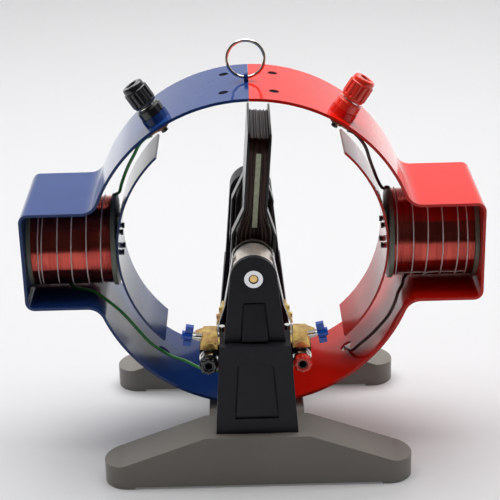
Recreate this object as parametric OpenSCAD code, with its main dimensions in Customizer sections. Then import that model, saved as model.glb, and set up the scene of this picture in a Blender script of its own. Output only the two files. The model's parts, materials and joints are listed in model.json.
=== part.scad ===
// Demonstration electric motor: a two-colour ring yoke with two field coils, a flat
// shuttle armature on a front-to-back shaft, a two-part commutator with leaf brushes,
// four binding posts, two black uprights and a pair of feet joined by a spine.
// Frame: X across the face, Y from front to back, Z up, origin on the bench below the
// middle of the ring. Millimetres.

/* [Feet and spine] */
// Length of each foot across the motor
foot_len = 170; // [150:1:190]
// Front-to-back width of each foot
foot_w = 26; // [22:1:30]
// How far a foot stands out in front of its upright
foot_lip = 4.7; // [4:0.1:8]
// Height of the flat top that carries the uprights
base_top = 31; // [26:1:40]
// Height of a foot at its rounded end
foot_end_h = 13.5; // [10:0.5:18]
// Width of the flat top in the middle of a foot
foot_flat = 57; // [50:0.2:64]
// Length of the low end part of each foot
foot_tail = 10; // [6:1:18]
// Length of the pad under each end of a foot
foot_pad = 17; // [10:1:24]
// Height of the relief between the pads
foot_relief = 1.2; // [0.6:0.1:2.5]
// Width of the spine between the feet
spine_w = 53; // [48:1:54]
// Half width of the cradle on the spine
saddle_half = 20; // [16:1:24]
// Front-to-back half length of the cradle
saddle_depth = 27; // [22:1:32]
// Thickness of the tongue that enters each foot
tongue_t = 6; // [4:0.5:9]
// How far the tongue reaches past the bolts
tongue_end = 5; // [4.5:0.5:8]

/* [Ring yoke] */
// Outer radius of the yoke ring
ring_r = 90; // [88:1:100]
// Front-to-back width of the yoke strip
band_w = 65; // [60:1:75]
// Thickness of the yoke strip
band_t = 1.6; // [1.4:0.1:3]
// Distance from the middle to the outer wall of a coil box
box_x = 125.6; // [120:0.2:140]
// Half height of a coil box, outside
box_half_h = 28.4; // [28:0.2:34]
// Outer corner radius of a coil box
box_corner = 5; // [4:0.5:8]
// Radius where the ring turns into a box
box_fillet = 9; // [6:0.5:12]
// Angle of the seam screws each side of the seam
seam_screw_angle = 8.6; // [7:0.2:11]
// Half distance between the seam screws, front to back
seam_screw_y = 17; // [12:1:21]
// Radius of the two lower cable holes in the ring
cable_hole_r = 4; // [3:0.25:5]
// Angle of the cable holes from the bottom of the ring
cable_hole_angle = 36.5; // [30:0.5:42]
// Thickness of the splice plate under the top seam
splice_t = 2; // [1.5:0.5:3]

/* [Carrying ring] */
// Middle radius of the carrying ring
loop_r = 10.15; // [8:0.05:14]
// Radius of its wire
loop_wire_r = 0.85; // [0.6:0.05:1.2]
// Sideways place of its eye, on the blue side of the seam
eye_x = -1.2; // [-2:0.1:-1.1]
// Width of the eye across the motor
eye_t = 2; // [1.5:0.1:2]
// Front-to-back width of the eye
eye_w = 6; // [5:0.5:8]

/* [Field coils] */
// Radius of a coil former's flanges
bobbin_r = 25.8; // [22:0.2:26]
// Thickness of a former's flanges
bobbin_flange_t = 2.4; // [1.6:0.1:4]
// Radius of the finished winding
field_wire_r = 24.6; // [20:0.1:25]
// Radius of the iron core in a coil
core_r = 12; // [10:0.5:14]
// Radial wall of the former's tube
bobbin_wall = 1.5; // [1:0.25:2.5]
// How far a core's bolt reaches into the box
core_bolt_len = 14; // [10:0.5:16]
// Radius of its head
core_bolt_head_r = 3.2; // [2.8:0.1:4]
// Thickness of its head
core_bolt_head_t = 1.4; // [1:0.1:2]
// Radius of the binding thread
thread_r = 0.35; // [0.25:0.05:0.5]
// Inner radius of the pole shoes
shoe_r = 73.7; // [72:0.1:75]
// Thickness of the pole shoes
shoe_t = 1.3; // [1:0.1:2.4]
// Half angle that a pole shoe covers
shoe_half_angle = 47; // [40:1:52]
// Front-to-back half width of a pole shoe
shoe_half_w = 20; // [16:1:24]
// Radius of a pole screw's head
pole_screw_r = 1.6; // [1.5:0.1:2.4]
// Half distance between the pole screws, front to back
pole_screw_y = 5; // [4:0.25:5.5]
// Half distance between the pole screws, up and down
pole_screw_z = 6; // [4:0.25:6.5]

/* [Armature] */
// Angle at which the armature stands at rest, top to the right
rest_tilt = 4.4; // [0:0.2:10]
// Half height of the armature's side plates
plate_half_h = 69; // [64:0.5:70]
// Front-to-back half length of the side plates
plate_half_y = 30.4; // [26:0.2:31]
// Thickness of a side plate
plate_t = 1.2; // [0.8:0.1:1.6]
// Half thickness of the winding between the side plates
coil_half_t = 5.2; // [4:0.1:6]
// Half height of the winding
coil_half_h = 65.4; // [60:0.2:66]
// Front-to-back half length of the winding
coil_half_y = 30; // [26:0.2:30.4]
// Half height of the iron core inside the winding
armature_core_h = 50; // [40:1:54]
// Front-to-back half length of the iron core
armature_core_y = 15; // [12:0.5:18]
// Half width of the winding where it parts around the shaft
coil_bulge = 9.4; // [8:0.1:10.5]
// Half width of the side plates where they bend out around the shaft
bulge_half = 12.1; // [11.8:0.1:13]
// Half height of the bend's straight part
bulge_flat = 12.3; // [11:0.1:14]
// Height where the bend starts
bulge_top = 27; // [25:0.5:32]
// Distance from the middle to the bent parts, front to back
bulge_in = 21.8; // [20:0.2:24]
// Width of the pale strips on the winding
strip_w = 2.7; // [2:0.1:4]
// Length of the pale strips
strip_len = 42; // [36:0.5:46]
// Distance from the shaft to their near ends
strip_low = 17; // [14:0.5:18]
// Thickness of the pale strips
strip_t = 0.4; // [0.2:0.05:0.5]
// Radius of the shaft
shaft_r = 2; // [1.5:0.1:2.5]

/* [Commutator] */
// Radius of the commutator segments
commutator_r = 11; // [10:0.1:11.6]
// Radius of the thin band behind the segments
band_ring_r = 11.9; // [11.7:0.1:13]
// Front-to-back length of the segments
segment_len = 19.6; // [17:0.2:21]
// Width of the slots between the two segments
segment_slot = 1.2; // [0.8:0.1:2]

/* [Uprights] */
// Half width of the upper stage at the shaft, which is also the radius of its top
upright_r = 12.4; // [12:0.1:14]
// Half width of the upper stage at its foot
upper_half = 16.5; // [15.8:0.1:16.6]
// Half width of the front upright's lower stage at its top
lower_half_top = 19; // [18:0.1:19.4]
// Half width of the rear upright's lower stage at its top
rear_half_top = 16.8; // [16.7:0.1:18]
// Half width of the lower stage at its bottom
lower_half = 22.4; // [20:0.2:24]
// Distance from the shaft down to the top of the lower stage
stage_drop = 37.4; // [36:0.2:40]
// Thickness of the front upright's upper stage
front_plate_t = 3.2; // [2.6:0.1:4]
// How far the lower stage stands out in front of the upper one
stage_step = 4.8; // [3:0.2:6]
// Front-to-back depth of the lower stage
lower_depth = 19; // [18:0.2:21]
// Wall of an upright
upright_wall = 2.2; // [1.6:0.2:3]
// Radius of the rounded top of the rear upright
rear_top_r = 12.4; // [11:0.2:13]
// Height of that rounding's middle above the shaft
rear_top_z = 8; // [4:0.5:10]
// Outer radius of a bearing's flange
bearing_r = 4.95; // [4.6:0.05:6]
// Outer radius of a bearing's body
bearing_body_r = 3.95; // [3.6:0.05:4.4]

/* [Top binding posts] */
// Angle of the posts from the top of the ring
post_angle = 32.9; // [28:0.1:38]
// Distance of the posts from the front edge of the yoke strip
post_edge = 13.5; // [11:0.5:18]
// Radius of the pressed boss below a post
boss_r = 7.4; // [7:0.1:8]
// Height of the boss above the ring's surface
boss_h = 4; // [3:0.5:6]
// Radius of a post's collar
collar_r = 7; // [6:0.1:7.4]
// Height of a post's collar
collar_h = 5.4; // [4:0.2:7]
// Radius of a post's cap
cap_r = 6.75; // [6:0.05:7.2]
// Length of a post's cap
cap_len = 13.2; // [11:0.2:15]
// How far a cap unscrews
cap_travel = 4; // [2:0.5:5]
// Radius of the plug socket in every post
socket_r = 2.02; // [2:0.01:2.1]

/* [Front binding posts] */
// Distance of a front post from the middle
terminal_x = 25.4; // [25.4:0.1:27]
// Distance from the shaft down to a front post
terminal_drop = 52; // [51.6:0.2:54]
// Radius of the metal washer behind a cap
terminal_washer_r = 5.2; // [4.8:0.1:5.3]
// Radius of a cap's grip
terminal_cap_r = 5.1; // [4.6:0.1:5.1]
// Length of a cap
terminal_cap_len = 9.6; // [8:0.2:11]
// How far a front cap unscrews
terminal_travel = 3; // [2:0.5:4]

/* [Brush gear] */
// Thickness of a brush leaf
leaf_t = 0.5; // [0.3:0.05:0.7]
// Front-to-back width of a brush leaf
leaf_w = 6; // [4:0.5:7]
// Gap that is left between a leaf and the commutator
leaf_gap = 0.3; // [0.25:0.05:0.6]
// Lean of the upper part of a leaf
leaf_lean = 10.7; // [8:0.1:13]
// Thickness of the bracket's sheet
bracket_t = 0.9; // [0.6:0.1:1.2]
// Height of the bracket above its base plate
bracket_h = 9.5; // [8:0.5:11]
// Half length of a thumb screw's wings
wing_half = 5.8; // [5:0.1:7]
// Thickness of a thumb screw's wings
wing_t = 4.3; // [3:0.1:5]
// Slope of a thumb screw, inner end down
thumb_slope = 11; // [6:1:14]
// Radius of a thumb screw's rod
thumb_rod_r = 1; // [0.8:0.05:1.2]
// Height of a bracket screw's collar above its plate
bracket_screw_h = 3.6; // [3:0.1:4.5]
// Radius of that collar
bracket_screw_r = 2.3; // [1.9:0.1:2.4]
// Height of the domed head on the collar
bracket_head_h = 4.4; // [2:0.2:5]

/* [Leads] */
// Radius of the connecting leads
lead_r = 0.8; // [0.6:0.05:1]

/* [Hidden] */

$fn = 96;
// Place where the right lower lead enters the spine, below the spine's top
lead_in_y = -3;
lead_in_drop = 4.6;
// Clearance where one fixed piece sits round another
fit = 0.05;
// Clearance where a piece slides or turns in another
running = 0.06;
// Gap between pieces of different bodies that only face each other
air = 0.3;
// Overrun of a cut past a surface
over = 1;

// Height of the shaft's axis and of the ring's middle
axis_z = base_top + ring_r;
// Inner radius of the ring
ring_in = ring_r - band_t;
// Places along the shaft, from the winding's front end to the feet
hub_back_y = -coil_half_y - 1.2;
band_ring_len = 1.4;
band_ring_y = hub_back_y - 3 - band_ring_len;
segment_back_y = band_ring_y - 1.4;
hub_front_y = segment_back_y - segment_len - 0.1;
upper_face_y = air - hub_front_y + front_plate_t;
lower_face_y = upper_face_y + stage_step;
upright_back_y = lower_face_y - lower_depth;
bolt_y = upright_back_y + 7.7;
// Front-to-back middle of a foot
foot_y = lower_face_y + foot_lip - foot_w / 2;
// Inner faces of the feet
foot_in_y = lower_face_y + foot_lip - foot_w;
// Inner face of a coil box's end wall
box_in_x = box_x - band_t;
// Outer radius of the pole shoes
shoe_out = shoe_r + shoe_t;
// A former reaches from behind its pole shoe to the box wall
bobbin_in_x = shoe_out + 0.1;
bobbin_out_x = box_in_x - 0.1;
// Places of the binding thread's turns, as shares of each winding's length
left_turns = [0.118, 0.311, 0.498, 0.682, 0.864, 0.914];
right_turns = [0.043, 0.234, 0.415, 0.590, 0.789, 0.903];

// Metal-thread radii of bolts and their heads
bolt_r = 2;
bolt_head_r = 4;
bolt_head_t = 3;
bolt_x = 12;
seam_screw_r = 1.5;
seam_head_r = 2.6;
seam_head_t = 1;

// Panels of the uprights: top and lower edge below the shaft, half widths there, how far the
// lower edge stands out, and the height of the recess above and below
upper_panel = [14.7, 5.25, stage_drop - 1.5, 7.1, 1.6, 0.8, 2];
lower_panel = [stage_drop + 11.6, 9, ring_r - 12.1, 11.1, 1.8, 0, 3];
panel_gap = 0.8;
panel_recess_t = 1;

// Radii of the commutator's hub and of the sleeve behind it
hub_r = commutator_r - 1.3;
sleeve_r = 4.6;

// Bearing
bearing_flange_t = 0.6;
rear_bearing_len = 10;
bearing_boss_r = 7.5;

// Top posts, measured outwards from the shaft's axis
post_y = post_edge - band_w / 2;
boss_top = ring_r + boss_h;
collar_top = boss_top + collar_h;
post_washer_t = 0.8;
post_washer_r = collar_r - 1.4;
cap_bottom = collar_top + post_washer_t + 0.1;
stud_r = 1.9;
thread_post_r = 2.9;
post_nut_r = 4;
post_nut_t = 2.8;
nut_top = ring_in - 0.25;
nut_bottom = nut_top - post_nut_t;
lug_t = 0.8;
stud_bottom = nut_bottom - lug_t - 2.2;
socket_depth = 11;

// Front posts, measured from the ring's middle towards the front
ear_face = upright_back_y + 0.4;
ear_back = upright_back_y - 10;
ear_top_drop = 46;
ear_out = terminal_x + 5;
washer_t = 1.4;
terminal_nut_r = 3.9;
terminal_nut_t = 1.4;
terminal_thread_r = 2.5;
terminal_stud_r = 1.5;
terminal_cap_y = ear_face + washer_t + terminal_nut_t + 0.1;
terminal_neck_r = 3.6;
terminal_neck = 4.2;
terminal_socket_depth = 8;
rear_nut_t = 1.8;
tag_t = 0.8;
// End of a terminal's solder tag, from its post
tag_end = [-5.9, -14];

// Brush gear, x counted outwards, z from the shaft
leaf_y = upright_back_y - 4;
leaf_pivot = [20.9, -36.5];
leaf_knee_z = -22;
leaf_end_z = 6;
contact_r = commutator_r + leaf_gap;
bracket_in_x = 20.4;
bracket_top_x = 28;
bracket_foot_x = 30;
bracket_plate_in = 13.6;
bracket_front = upright_back_y + 3.6;
bracket_back = upright_back_y - 6;
plate_back = upright_back_y - 9.6;
tip_x = 32.2;
tip_y = upright_back_y - 0.5;
brush_screw = [17.9, upright_back_y - 5.6];
thumb_mid = [36.2, -39.4];
thumb_y = upright_back_y - 1;

// Outline of the yoke strip in the XZ plane, moved inwards by a
module yoke_outline(a) {
  r = ring_r - a;
  bx = box_x - a;
  bh = box_half_h - a;
  bc = box_corner - a;
  f = box_fillet + a;
  // middle of the round between ring and box, the same for both faces of the strip
  cz = box_half_h + box_fillet;
  cx = sqrt(pow(ring_r + box_fillet, 2) - cz * cz);
  k = r / (ring_r + box_fillet);
  circle(r, $fn = 180);
  difference() {
    square([2 * bx, 2 * bh], center = true);
    for (sx = [-1, 1], sz = [-1, 1])
      translate([sx * bx, sz * bh]) square(2 * bc, center = true);
  }
  for (sx = [-1, 1], sz = [-1, 1])
    translate([sx * (bx - bc), sz * (bh - bc)]) circle(bc, $fn = 48);
  for (sx = [-1, 1], sz = [-1, 1])
    scale_sign(sx, sz) difference() {
      polygon([[cx * k, cz * k], [cx, cz], [cx, bh - 2], [cx * k - 4, bh - 2]]);
      translate([cx, cz]) circle(f, $fn = 72);
    }
}

// Mirror a flat shape to the given side
module scale_sign(sx, sz) {
  mirror([sx < 0 ? 1 : 0, 0]) mirror([0, sz < 0 ? 1 : 0]) children();
}

// Move to the shaft's axis
module at_axis() {
  translate([0, 0, axis_z]) children();
}

// Frame of the armature, which leans at rest
module on_armature() {
  at_axis() rotate([0, rest_tilt, 0]) children();
}

// Cylinder along Y from y0 to y1
module along_y(y0, y1, r) {
  translate([0, y0, 0]) rotate([-90, 0, 0]) cylinder(h = y1 - y0, r = r);
}

// Cylinder along X from x0 to x1
module along_x(x0, x1, r) {
  translate([x0, 0, 0]) rotate([0, 90, 0]) cylinder(h = x1 - x0, r = r);
}

// Flat XZ shape made solid from y0 to y1
module slab_y(y0, y1) {
  translate([0, y1, 0]) rotate([90, 0, 0]) linear_extrude(y1 - y0) children();
}

// Flat YZ shape made solid from x0 to x1
module slab_x(x0, x1) {
  translate([x0, 0, 0]) rotate([90, 0, 90]) linear_extrude(x1 - x0) children();
}

// Radial frame on the ring: Z points outwards at the angle a from the top, at place y
module on_ring(a, y) {
  at_axis() rotate([0, a, 0]) translate([0, y, 0]) children();
}

// Frame of a front post: Z points to the front, side -1 is left
module on_terminal(side) {
  translate([side * terminal_x, 0, axis_z - terminal_drop]) rotate([90, 0, 0]) children();
}

// Make the left one of a pair that is drawn on the right
module sided(side) {
  mirror([side < 0 ? 1 : 0, 0, 0]) children();
}

// Centres of the bolts that hold foot, spine and upright together
module at_bolts(side) {
  for (sx = [-1, 1])
    translate([sx * bolt_x, side * bolt_y, 0]) children();
}

// ---------------------------------------------------------------- base

module foot(side) {
  slope_x = foot_len / 2 - foot_tail;
  half = foot_len / 2;
  color([0.42, 0.40, 0.36])
  difference() {
    intersection() {
      slab_y(side * foot_y - foot_w / 2, side * foot_y + foot_w / 2)
        polygon([
          [-half, 0], [half, 0], [half, foot_end_h - 0.6], [slope_x, foot_end_h + 0.6],
          [foot_flat / 2, base_top], [-foot_flat / 2, base_top],
          [-slope_x, foot_end_h + 0.6], [-half, foot_end_h - 0.6]
        ]);
      translate([0, side * foot_y, 0]) linear_extrude(base_top + over) {
        square([foot_len - foot_w, foot_w], center = true);
        for (sx = [-1, 1])
          translate([sx * (half - foot_w / 2), 0]) circle(foot_w / 2);
      }
    }
    translate([-half + foot_pad, side * foot_y - foot_w / 2 - over, -over])
      cube([foot_len - 2 * foot_pad, foot_w + 2 * over, over + foot_relief]);
    tongue_space(side, 0.1);
    at_bolts(side) bolt_hole();
  }
}

// Space of the spine's tongue under a foot, with clearance c
module tongue_space(side, c) {
  tongue_half = spine_w / 2 - 5;
  y_in = foot_in_y - over;
  y_out = bolt_y + tongue_end + c;
  translate([-tongue_half - c, side > 0 ? y_in : -y_out, foot_relief - (c > 0 ? over : 0)])
    cube([2 * (tongue_half + c), y_out - y_in, tongue_t + c + (c > 0 ? over : 0)]);
}

module bolt_hole() {
  translate([0, 0, -over]) cylinder(h = base_top + 2 * over, r = bolt_r + fit);
}

module front_foot() { foot(-1); }
module rear_foot() { foot(1); }

module spine() {
  color([0.44, 0.42, 0.38])
  difference() {
    union() {
      translate([-spine_w / 2, -foot_in_y + fit, foot_relief])
        cube([spine_w, 2 * (foot_in_y - fit), base_top - foot_relief]);
      for (s = [-1, 1]) tongue_space(s, 0);
      translate([-saddle_half, -saddle_depth, base_top - over])
        cube([2 * saddle_half, 2 * saddle_depth, over + 3.2]);
    }
    at_axis() along_y(-saddle_depth - 20, saddle_depth + 20, ring_r + 0.02);
    for (s = [-1, 1]) at_bolts(s) translate([0, 0, -over]) {
      cylinder(h = base_top, r = bolt_r + fit);
      cylinder(h = over + foot_relief + bolt_head_t, r = bolt_head_r + 0.2);
    }
    for (a = [-1, 1], s = [-1, 1])
      on_ring(180 + a * seam_screw_angle, s * seam_screw_y) seam_screw_hole();
    translate([0, lead_in_y, base_top - lead_in_drop])
      along_x(spine_w / 2 - 5, spine_w / 2 + over, lead_r + 0.3);
  }
}

module base_bolts() {
  color("dimgray")
  for (s = [-1, 1]) at_bolts(s) translate([0, 0, foot_relief]) {
    cylinder(h = bolt_head_t - 0.1, r = bolt_head_r);
    cylinder(h = base_top - foot_relief + 8, r = bolt_r);
  }
}

// ---------------------------------------------------------------- uprights

// Outline of an upright's upper stage, set in by w, with its round top at height tz
module upper_outline(w, tr, tz) {
  translate([0, tz]) circle(tr - w);
  polygon([
    [-(tr - w), tz], [tr - w, tz], [upper_half - w, -stage_drop - over],
    [-(upper_half - w), -stage_drop - over]
  ]);
}

// Outline of a lower stage with the given half width at its top, set in by w
module lower_outline(w, half_top) {
  polygon([
    [-(half_top - w), -stage_drop - w], [half_top - w, -stage_drop - w],
    [lower_half - w, -ring_r], [-(lower_half - w), -ring_r]
  ]);
}

// Raised panel with its top edge flush and its lower edge proud
module wedge_panel(panel, face) {
  top = -panel[0];
  low = -panel[2];
  root = -face + panel_recess_t + 0.2;
  intersection() {
    slab_y(-face - panel[4] - over, -face + 2 * over)
      polygon([[-panel[1], top], [panel[1], top], [panel[3], low], [-panel[3], low]]);
    slab_x(-panel[3] - over, panel[3] + over)
      polygon([[-face, top], [-face - panel[4], low], [root, low], [root, top]]);
  }
}

// Shallow recess round a panel
module panel_recess(panel, face) {
  top = -panel[0] + panel[5];
  low = -panel[2] - panel[6];
  slab_y(-face - over, -face + panel_recess_t)
    polygon([
      [-panel[1] - panel_gap, top], [panel[1] + panel_gap, top],
      [panel[3] + panel_gap, low], [-panel[3] - panel_gap, low]
    ]);
}

// Lower stage of an upright, a box open at the back, with a thick floor
module lower_stage(half_top) {
  difference() {
    slab_y(-lower_face_y, -upright_back_y) lower_outline(0, half_top);
    panel_recess(lower_panel, lower_face_y);
    difference() {
      slab_y(-lower_face_y + upright_wall, -upright_back_y + over)
        lower_outline(upright_wall, half_top);
      translate([-lower_half, -lower_face_y, -ring_r - over])
        cube([2 * lower_half, lower_face_y, over + 8]);
    }
  }
}

// Panels on both stages of an upright
module upright_panels() {
  wedge_panel(upper_panel, upper_face_y);
  wedge_panel(lower_panel, lower_face_y);
}

// Front upright: a plate on the lower stage
module front_shell() {
  difference() {
    union() {
      difference() {
        slab_y(-upper_face_y, -upper_face_y + front_plate_t) upper_outline(0, upright_r, 0);
        panel_recess(upper_panel, upper_face_y);
      }
      lower_stage(lower_half_top);
      upright_panels();
    }
    along_y(-upper_face_y - over, -upper_face_y + front_plate_t + over, bearing_body_r + fit);
  }
}

// Rear upright drawn as a front one: both stages are boxes, with a boss round the bearing
module rear_shell() {
  difference() {
    union() {
      difference() {
        slab_y(-upper_face_y, -upright_back_y) upper_outline(0, rear_top_r, rear_top_z);
        slab_y(-upper_face_y + upright_wall, -upright_back_y + over)
          upper_outline(upright_wall, rear_top_r, rear_top_z);
        panel_recess(upper_panel, upper_face_y);
      }
      lower_stage(rear_half_top);
      along_y(-upper_face_y + over, -upright_back_y, bearing_boss_r);
      upright_panels();
    }
    along_y(-upper_face_y - over, -upright_back_y + over, bearing_body_r + fit);
  }
}

module bolt_sockets(side) {
  at_bolts(side) translate([0, 0, base_top - over])
    cylinder(h = 8 + 2 * over, r = bolt_r + fit);
}

module front_upright() {
  color([0.13, 0.13, 0.15])
  difference() {
    union() {
      at_axis() front_shell();
      for (s = [-1, 1]) sided(s) ear();
    }
    bolt_sockets(-1);
    for (s = [-1, 1]) on_terminal(s)
      translate([0, 0, ear_back - over])
        cylinder(h = ear_face - ear_back + 2 * over, r = terminal_stud_r + fit);
    for (s = [-1, 1])
      translate([s * brush_screw[0], -brush_screw[1], axis_z - ear_top_drop - 7])
        cylinder(h = 7 + over, r = 1.3);
  }
}

// Side ear of the front upright, which carries a front post and the brush gear
module ear() {
  translate([bracket_plate_in, -ear_face, axis_z - terminal_drop - 6])
    cube([ear_out - bracket_plate_in, ear_face - ear_back, terminal_drop + 6 - ear_top_drop]);
  translate([bracket_plate_in, -upright_back_y - 5, axis_z - terminal_drop - 6])
    cube([5, 6, terminal_drop + 6 - ear_top_drop]);
}

module rear_upright() {
  color([0.13, 0.13, 0.15])
  difference() {
    at_axis() rotate([0, 0, 180]) rear_shell();
    bolt_sockets(1);
  }
}

// Flanged bearing bush drawn at the front, with an open mouth
module bearing(len) {
  difference() {
    union() {
      along_y(-upper_face_y, -upper_face_y + len, bearing_body_r);
      along_y(-upper_face_y - bearing_flange_t, -upper_face_y, bearing_r);
    }
    along_y(-upper_face_y - over, -upper_face_y + len + over, shaft_r + running);
    along_y(-upper_face_y - over, -upper_face_y + 1.2, shaft_r + 0.55);
  }
}

module front_bearing() {
  color("gainsboro") at_axis() bearing(front_plate_t);
}

module rear_bearing() {
  color("gainsboro") at_axis() rotate([0, 0, 180]) bearing(rear_bearing_len);
}

// ---------------------------------------------------------------- yoke

// Hole and countersink of a seam screw, along Z of a radial frame
module seam_screw_hole() {
  translate([0, 0, ring_in - 12]) cylinder(h = 30, r = seam_screw_r + fit);
}

// Half of the yoke, side -1 is the blue half
module yoke_half(side) {
  difference() {
    union() {
      intersection() {
        at_axis() slab_y(-band_w / 2, band_w / 2)
          difference() {
            yoke_outline(0);
            yoke_outline(band_t);
          }
        translate([side > 0 ? fit : -2 * box_x - fit, -band_w, 0])
          cube([2 * box_x, 2 * band_w, 2 * axis_z]);
      }
      on_ring(side * post_angle, post_y)
        translate([0, 0, ring_r - band_t / 2]) cylinder(h = boss_h + band_t / 2, r = boss_r);
    }
    on_ring(side * post_angle, post_y)
      translate([0, 0, ring_in - over]) cylinder(h = boss_top - ring_in + 2 * over, r = stud_r + fit);
    for (a = [side * seam_screw_angle, 180 - side * seam_screw_angle], s = [-1, 1])
      on_ring(a, s * seam_screw_y) {
        seam_screw_hole();
        if (a < 90 && a > -90)
          translate([0, 0, ring_r - seam_head_t]) cylinder(h = 3, r = seam_head_r + 0.1);
      }
    on_ring(180 - side * cable_hole_angle, 0)
      translate([0, 0, ring_in - 3]) cylinder(h = band_t + 6, r = cable_hole_r);
    at_axis() along_x(side > 0 ? box_in_x - over : -box_x - over,
                      side > 0 ? box_x + over : -box_in_x + over, bolt_r + fit);
    translate([eye_x - eye_t / 2 - fit, -eye_w / 2 - fit, axis_z + ring_in - 4])
      cube([-eye_x + eye_t / 2 + fit, eye_w + 2 * fit, 12]);
  }
}

module yoke_blue() { color([0.10, 0.13, 0.36]) yoke_half(-1); }
module yoke_red() { color([0.80, 0.10, 0.08]) yoke_half(1); }

// Curved plate that joins the two halves under the top seam
module splice_plate() {
  color([0.35, 0.36, 0.38])
  at_axis() difference() {
    intersection() {
      difference() {
        along_y(-seam_screw_y - 6, seam_screw_y + 6, ring_in - 0.02);
        along_y(-seam_screw_y - 8, seam_screw_y + 8, ring_in - splice_t);
      }
      slab_y(-band_w, band_w)
        polygon([[0, 0], [-ring_r * tan(seam_screw_angle + 4), ring_r],
                 [ring_r * tan(seam_screw_angle + 4), ring_r]]);
    }
    for (a = [-1, 1], s = [-1, 1])
      rotate([0, a * seam_screw_angle, 0]) translate([0, s * seam_screw_y, 0]) seam_screw_hole();
    translate([eye_x - eye_t / 2 - fit, -eye_w / 2 - fit, ring_in - 6])
      cube([eye_t + 2 * fit, eye_w + 2 * fit, 12]);
  }
}

// Four flat-headed screws at the top seam and four round-headed ones at the bottom
module seam_screws() {
  color([0.10, 0.10, 0.12]) {
    for (a = [-1, 1], s = [-1, 1]) on_ring(a * seam_screw_angle, s * seam_screw_y) {
      translate([0, 0, ring_r - seam_head_t]) cylinder(h = seam_head_t - 0.25, r = seam_head_r);
      translate([0, 0, ring_in - splice_t - 1.2])
        cylinder(h = band_t + splice_t + 1.2 - seam_head_t, r = seam_screw_r);
    }
    for (a = [-1, 1], s = [-1, 1]) on_ring(180 + a * seam_screw_angle, s * seam_screw_y) {
      translate([0, 0, ring_in - 0.1 - 1.8]) cylinder(h = 1.8, r = seam_head_r);
      translate([0, 0, ring_in - 0.1]) cylinder(h = 8, r = seam_screw_r);
    }
  }
}

// Upright eye beside the seam, with its tail riveted under the splice plate
module ring_eye() {
  hole_z = ring_r + 1.2 + loop_wire_r;
  color([0.12, 0.15, 0.40])
  at_axis() difference() {
    slab_x(eye_x - eye_t / 2, eye_x + eye_t / 2) {
      translate([0, hole_z]) circle(eye_w / 2);
      translate([-eye_w / 2, ring_in - splice_t - 1]) square([eye_w, hole_z - ring_in + splice_t + 1]);
    }
    translate([0, 0, hole_z]) along_x(eye_x - eye_t, eye_x + eye_t, loop_wire_r + 0.35);
  }
}

module carry_ring() {
  color("silver")
  translate([eye_x, 0, axis_z + ring_r + 1.2 + loop_wire_r + loop_r]) rotate([90, 0, 0])
    rotate_extrude($fn = 96) translate([loop_r, 0]) circle(loop_wire_r, $fn = 24);
}

// ---------------------------------------------------------------- field coils

module field_core(side) {
  sided(side) at_axis() difference() {
    along_x(ring_r / 2, box_in_x - 0.02, core_r);
    along_y(-core_r - over, core_r + over, shoe_out + 0.02);
    along_x(box_in_x - core_bolt_len - 2, box_in_x + over, bolt_r + fit);
    for (s = [-1, 1], v = [-1, 1])
      translate([0, s * pole_screw_y, v * pole_screw_z]) along_x(shoe_r - 4, shoe_r + 12, 1);
  }
}

module left_core() { color("slategray") field_core(-1); }
module right_core() { color("slategray") field_core(1); }

module bobbin(side) {
  sided(side) at_axis() difference() {
    union() {
      along_x(bobbin_in_x, bobbin_out_x, core_r + fit + bobbin_wall);
      along_x(bobbin_in_x, bobbin_in_x + bobbin_flange_t, bobbin_r);
      along_x(bobbin_out_x - bobbin_flange_t, bobbin_out_x, bobbin_r);
    }
    along_x(bobbin_in_x - over, bobbin_out_x + over, core_r + fit);
  }
}

module left_bobbin() { color([0.35, 0.37, 0.33]) bobbin(-1); }
module right_bobbin() { color([0.35, 0.37, 0.33]) bobbin(1); }

module field_winding(side) {
  sided(side) at_axis() difference() {
    along_x(bobbin_in_x + bobbin_flange_t + fit, bobbin_out_x - bobbin_flange_t - fit, field_wire_r);
    along_x(bobbin_in_x - over, bobbin_out_x + over, core_r + 2 * fit + bobbin_wall);
  }
}

module left_field_winding() { color([0.30, 0.08, 0.06]) field_winding(-1); }
module right_field_winding() { color([0.30, 0.08, 0.06]) field_winding(1); }

// White thread tied round each winding
module coil_bindings() {
  x0 = bobbin_in_x + bobbin_flange_t;
  len = bobbin_out_x - x0 - bobbin_flange_t;
  color("white")
  for (side = [-1, 1], t = side < 0 ? left_turns : right_turns)
    sided(side) at_axis() translate([x0 + t * len, 0, 0]) rotate([0, 90, 0])
      rotate_extrude($fn = 64) translate([field_wire_r + thread_r + 0.02, 0])
        circle(thread_r, $fn = 16);
}

module pole_shoe(side) {
  reach = 2 * shoe_out;
  sided(side) at_axis() difference() {
    slab_y(-shoe_half_w, shoe_half_w) intersection() {
      difference() {
        circle(shoe_out, $fn = 180);
        circle(shoe_r, $fn = 180);
      }
      polygon([
        [0, 0], [reach * cos(shoe_half_angle), -reach * sin(shoe_half_angle)],
        [2 * reach, 0], [reach * cos(shoe_half_angle), reach * sin(shoe_half_angle)]
      ]);
    }
    for (s = [-1, 1], v = [-1, 1])
      translate([0, s * pole_screw_y, v * pole_screw_z]) along_x(shoe_r - 4, shoe_r + 12, 1);
  }
}

module left_pole_shoe() { color([0.10, 0.13, 0.36]) pole_shoe(-1); }
module right_pole_shoe() { color([0.80, 0.10, 0.08]) pole_shoe(1); }

// Screws that hold the pole shoes on their cores
module pole_screws() {
  seat = sqrt(pow(shoe_r, 2) - pow(pole_screw_z + pole_screw_r, 2)) - 0.05;
  color([0.08, 0.08, 0.10])
  for (side = [-1, 1], s = [-1, 1], v = [-1, 1])
    sided(side) at_axis() translate([0, s * pole_screw_y, v * pole_screw_z]) {
      along_x(seat - 1.6, seat, pole_screw_r);
      along_x(seat, shoe_out + 8, 1 - fit);
    }
}

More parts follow.
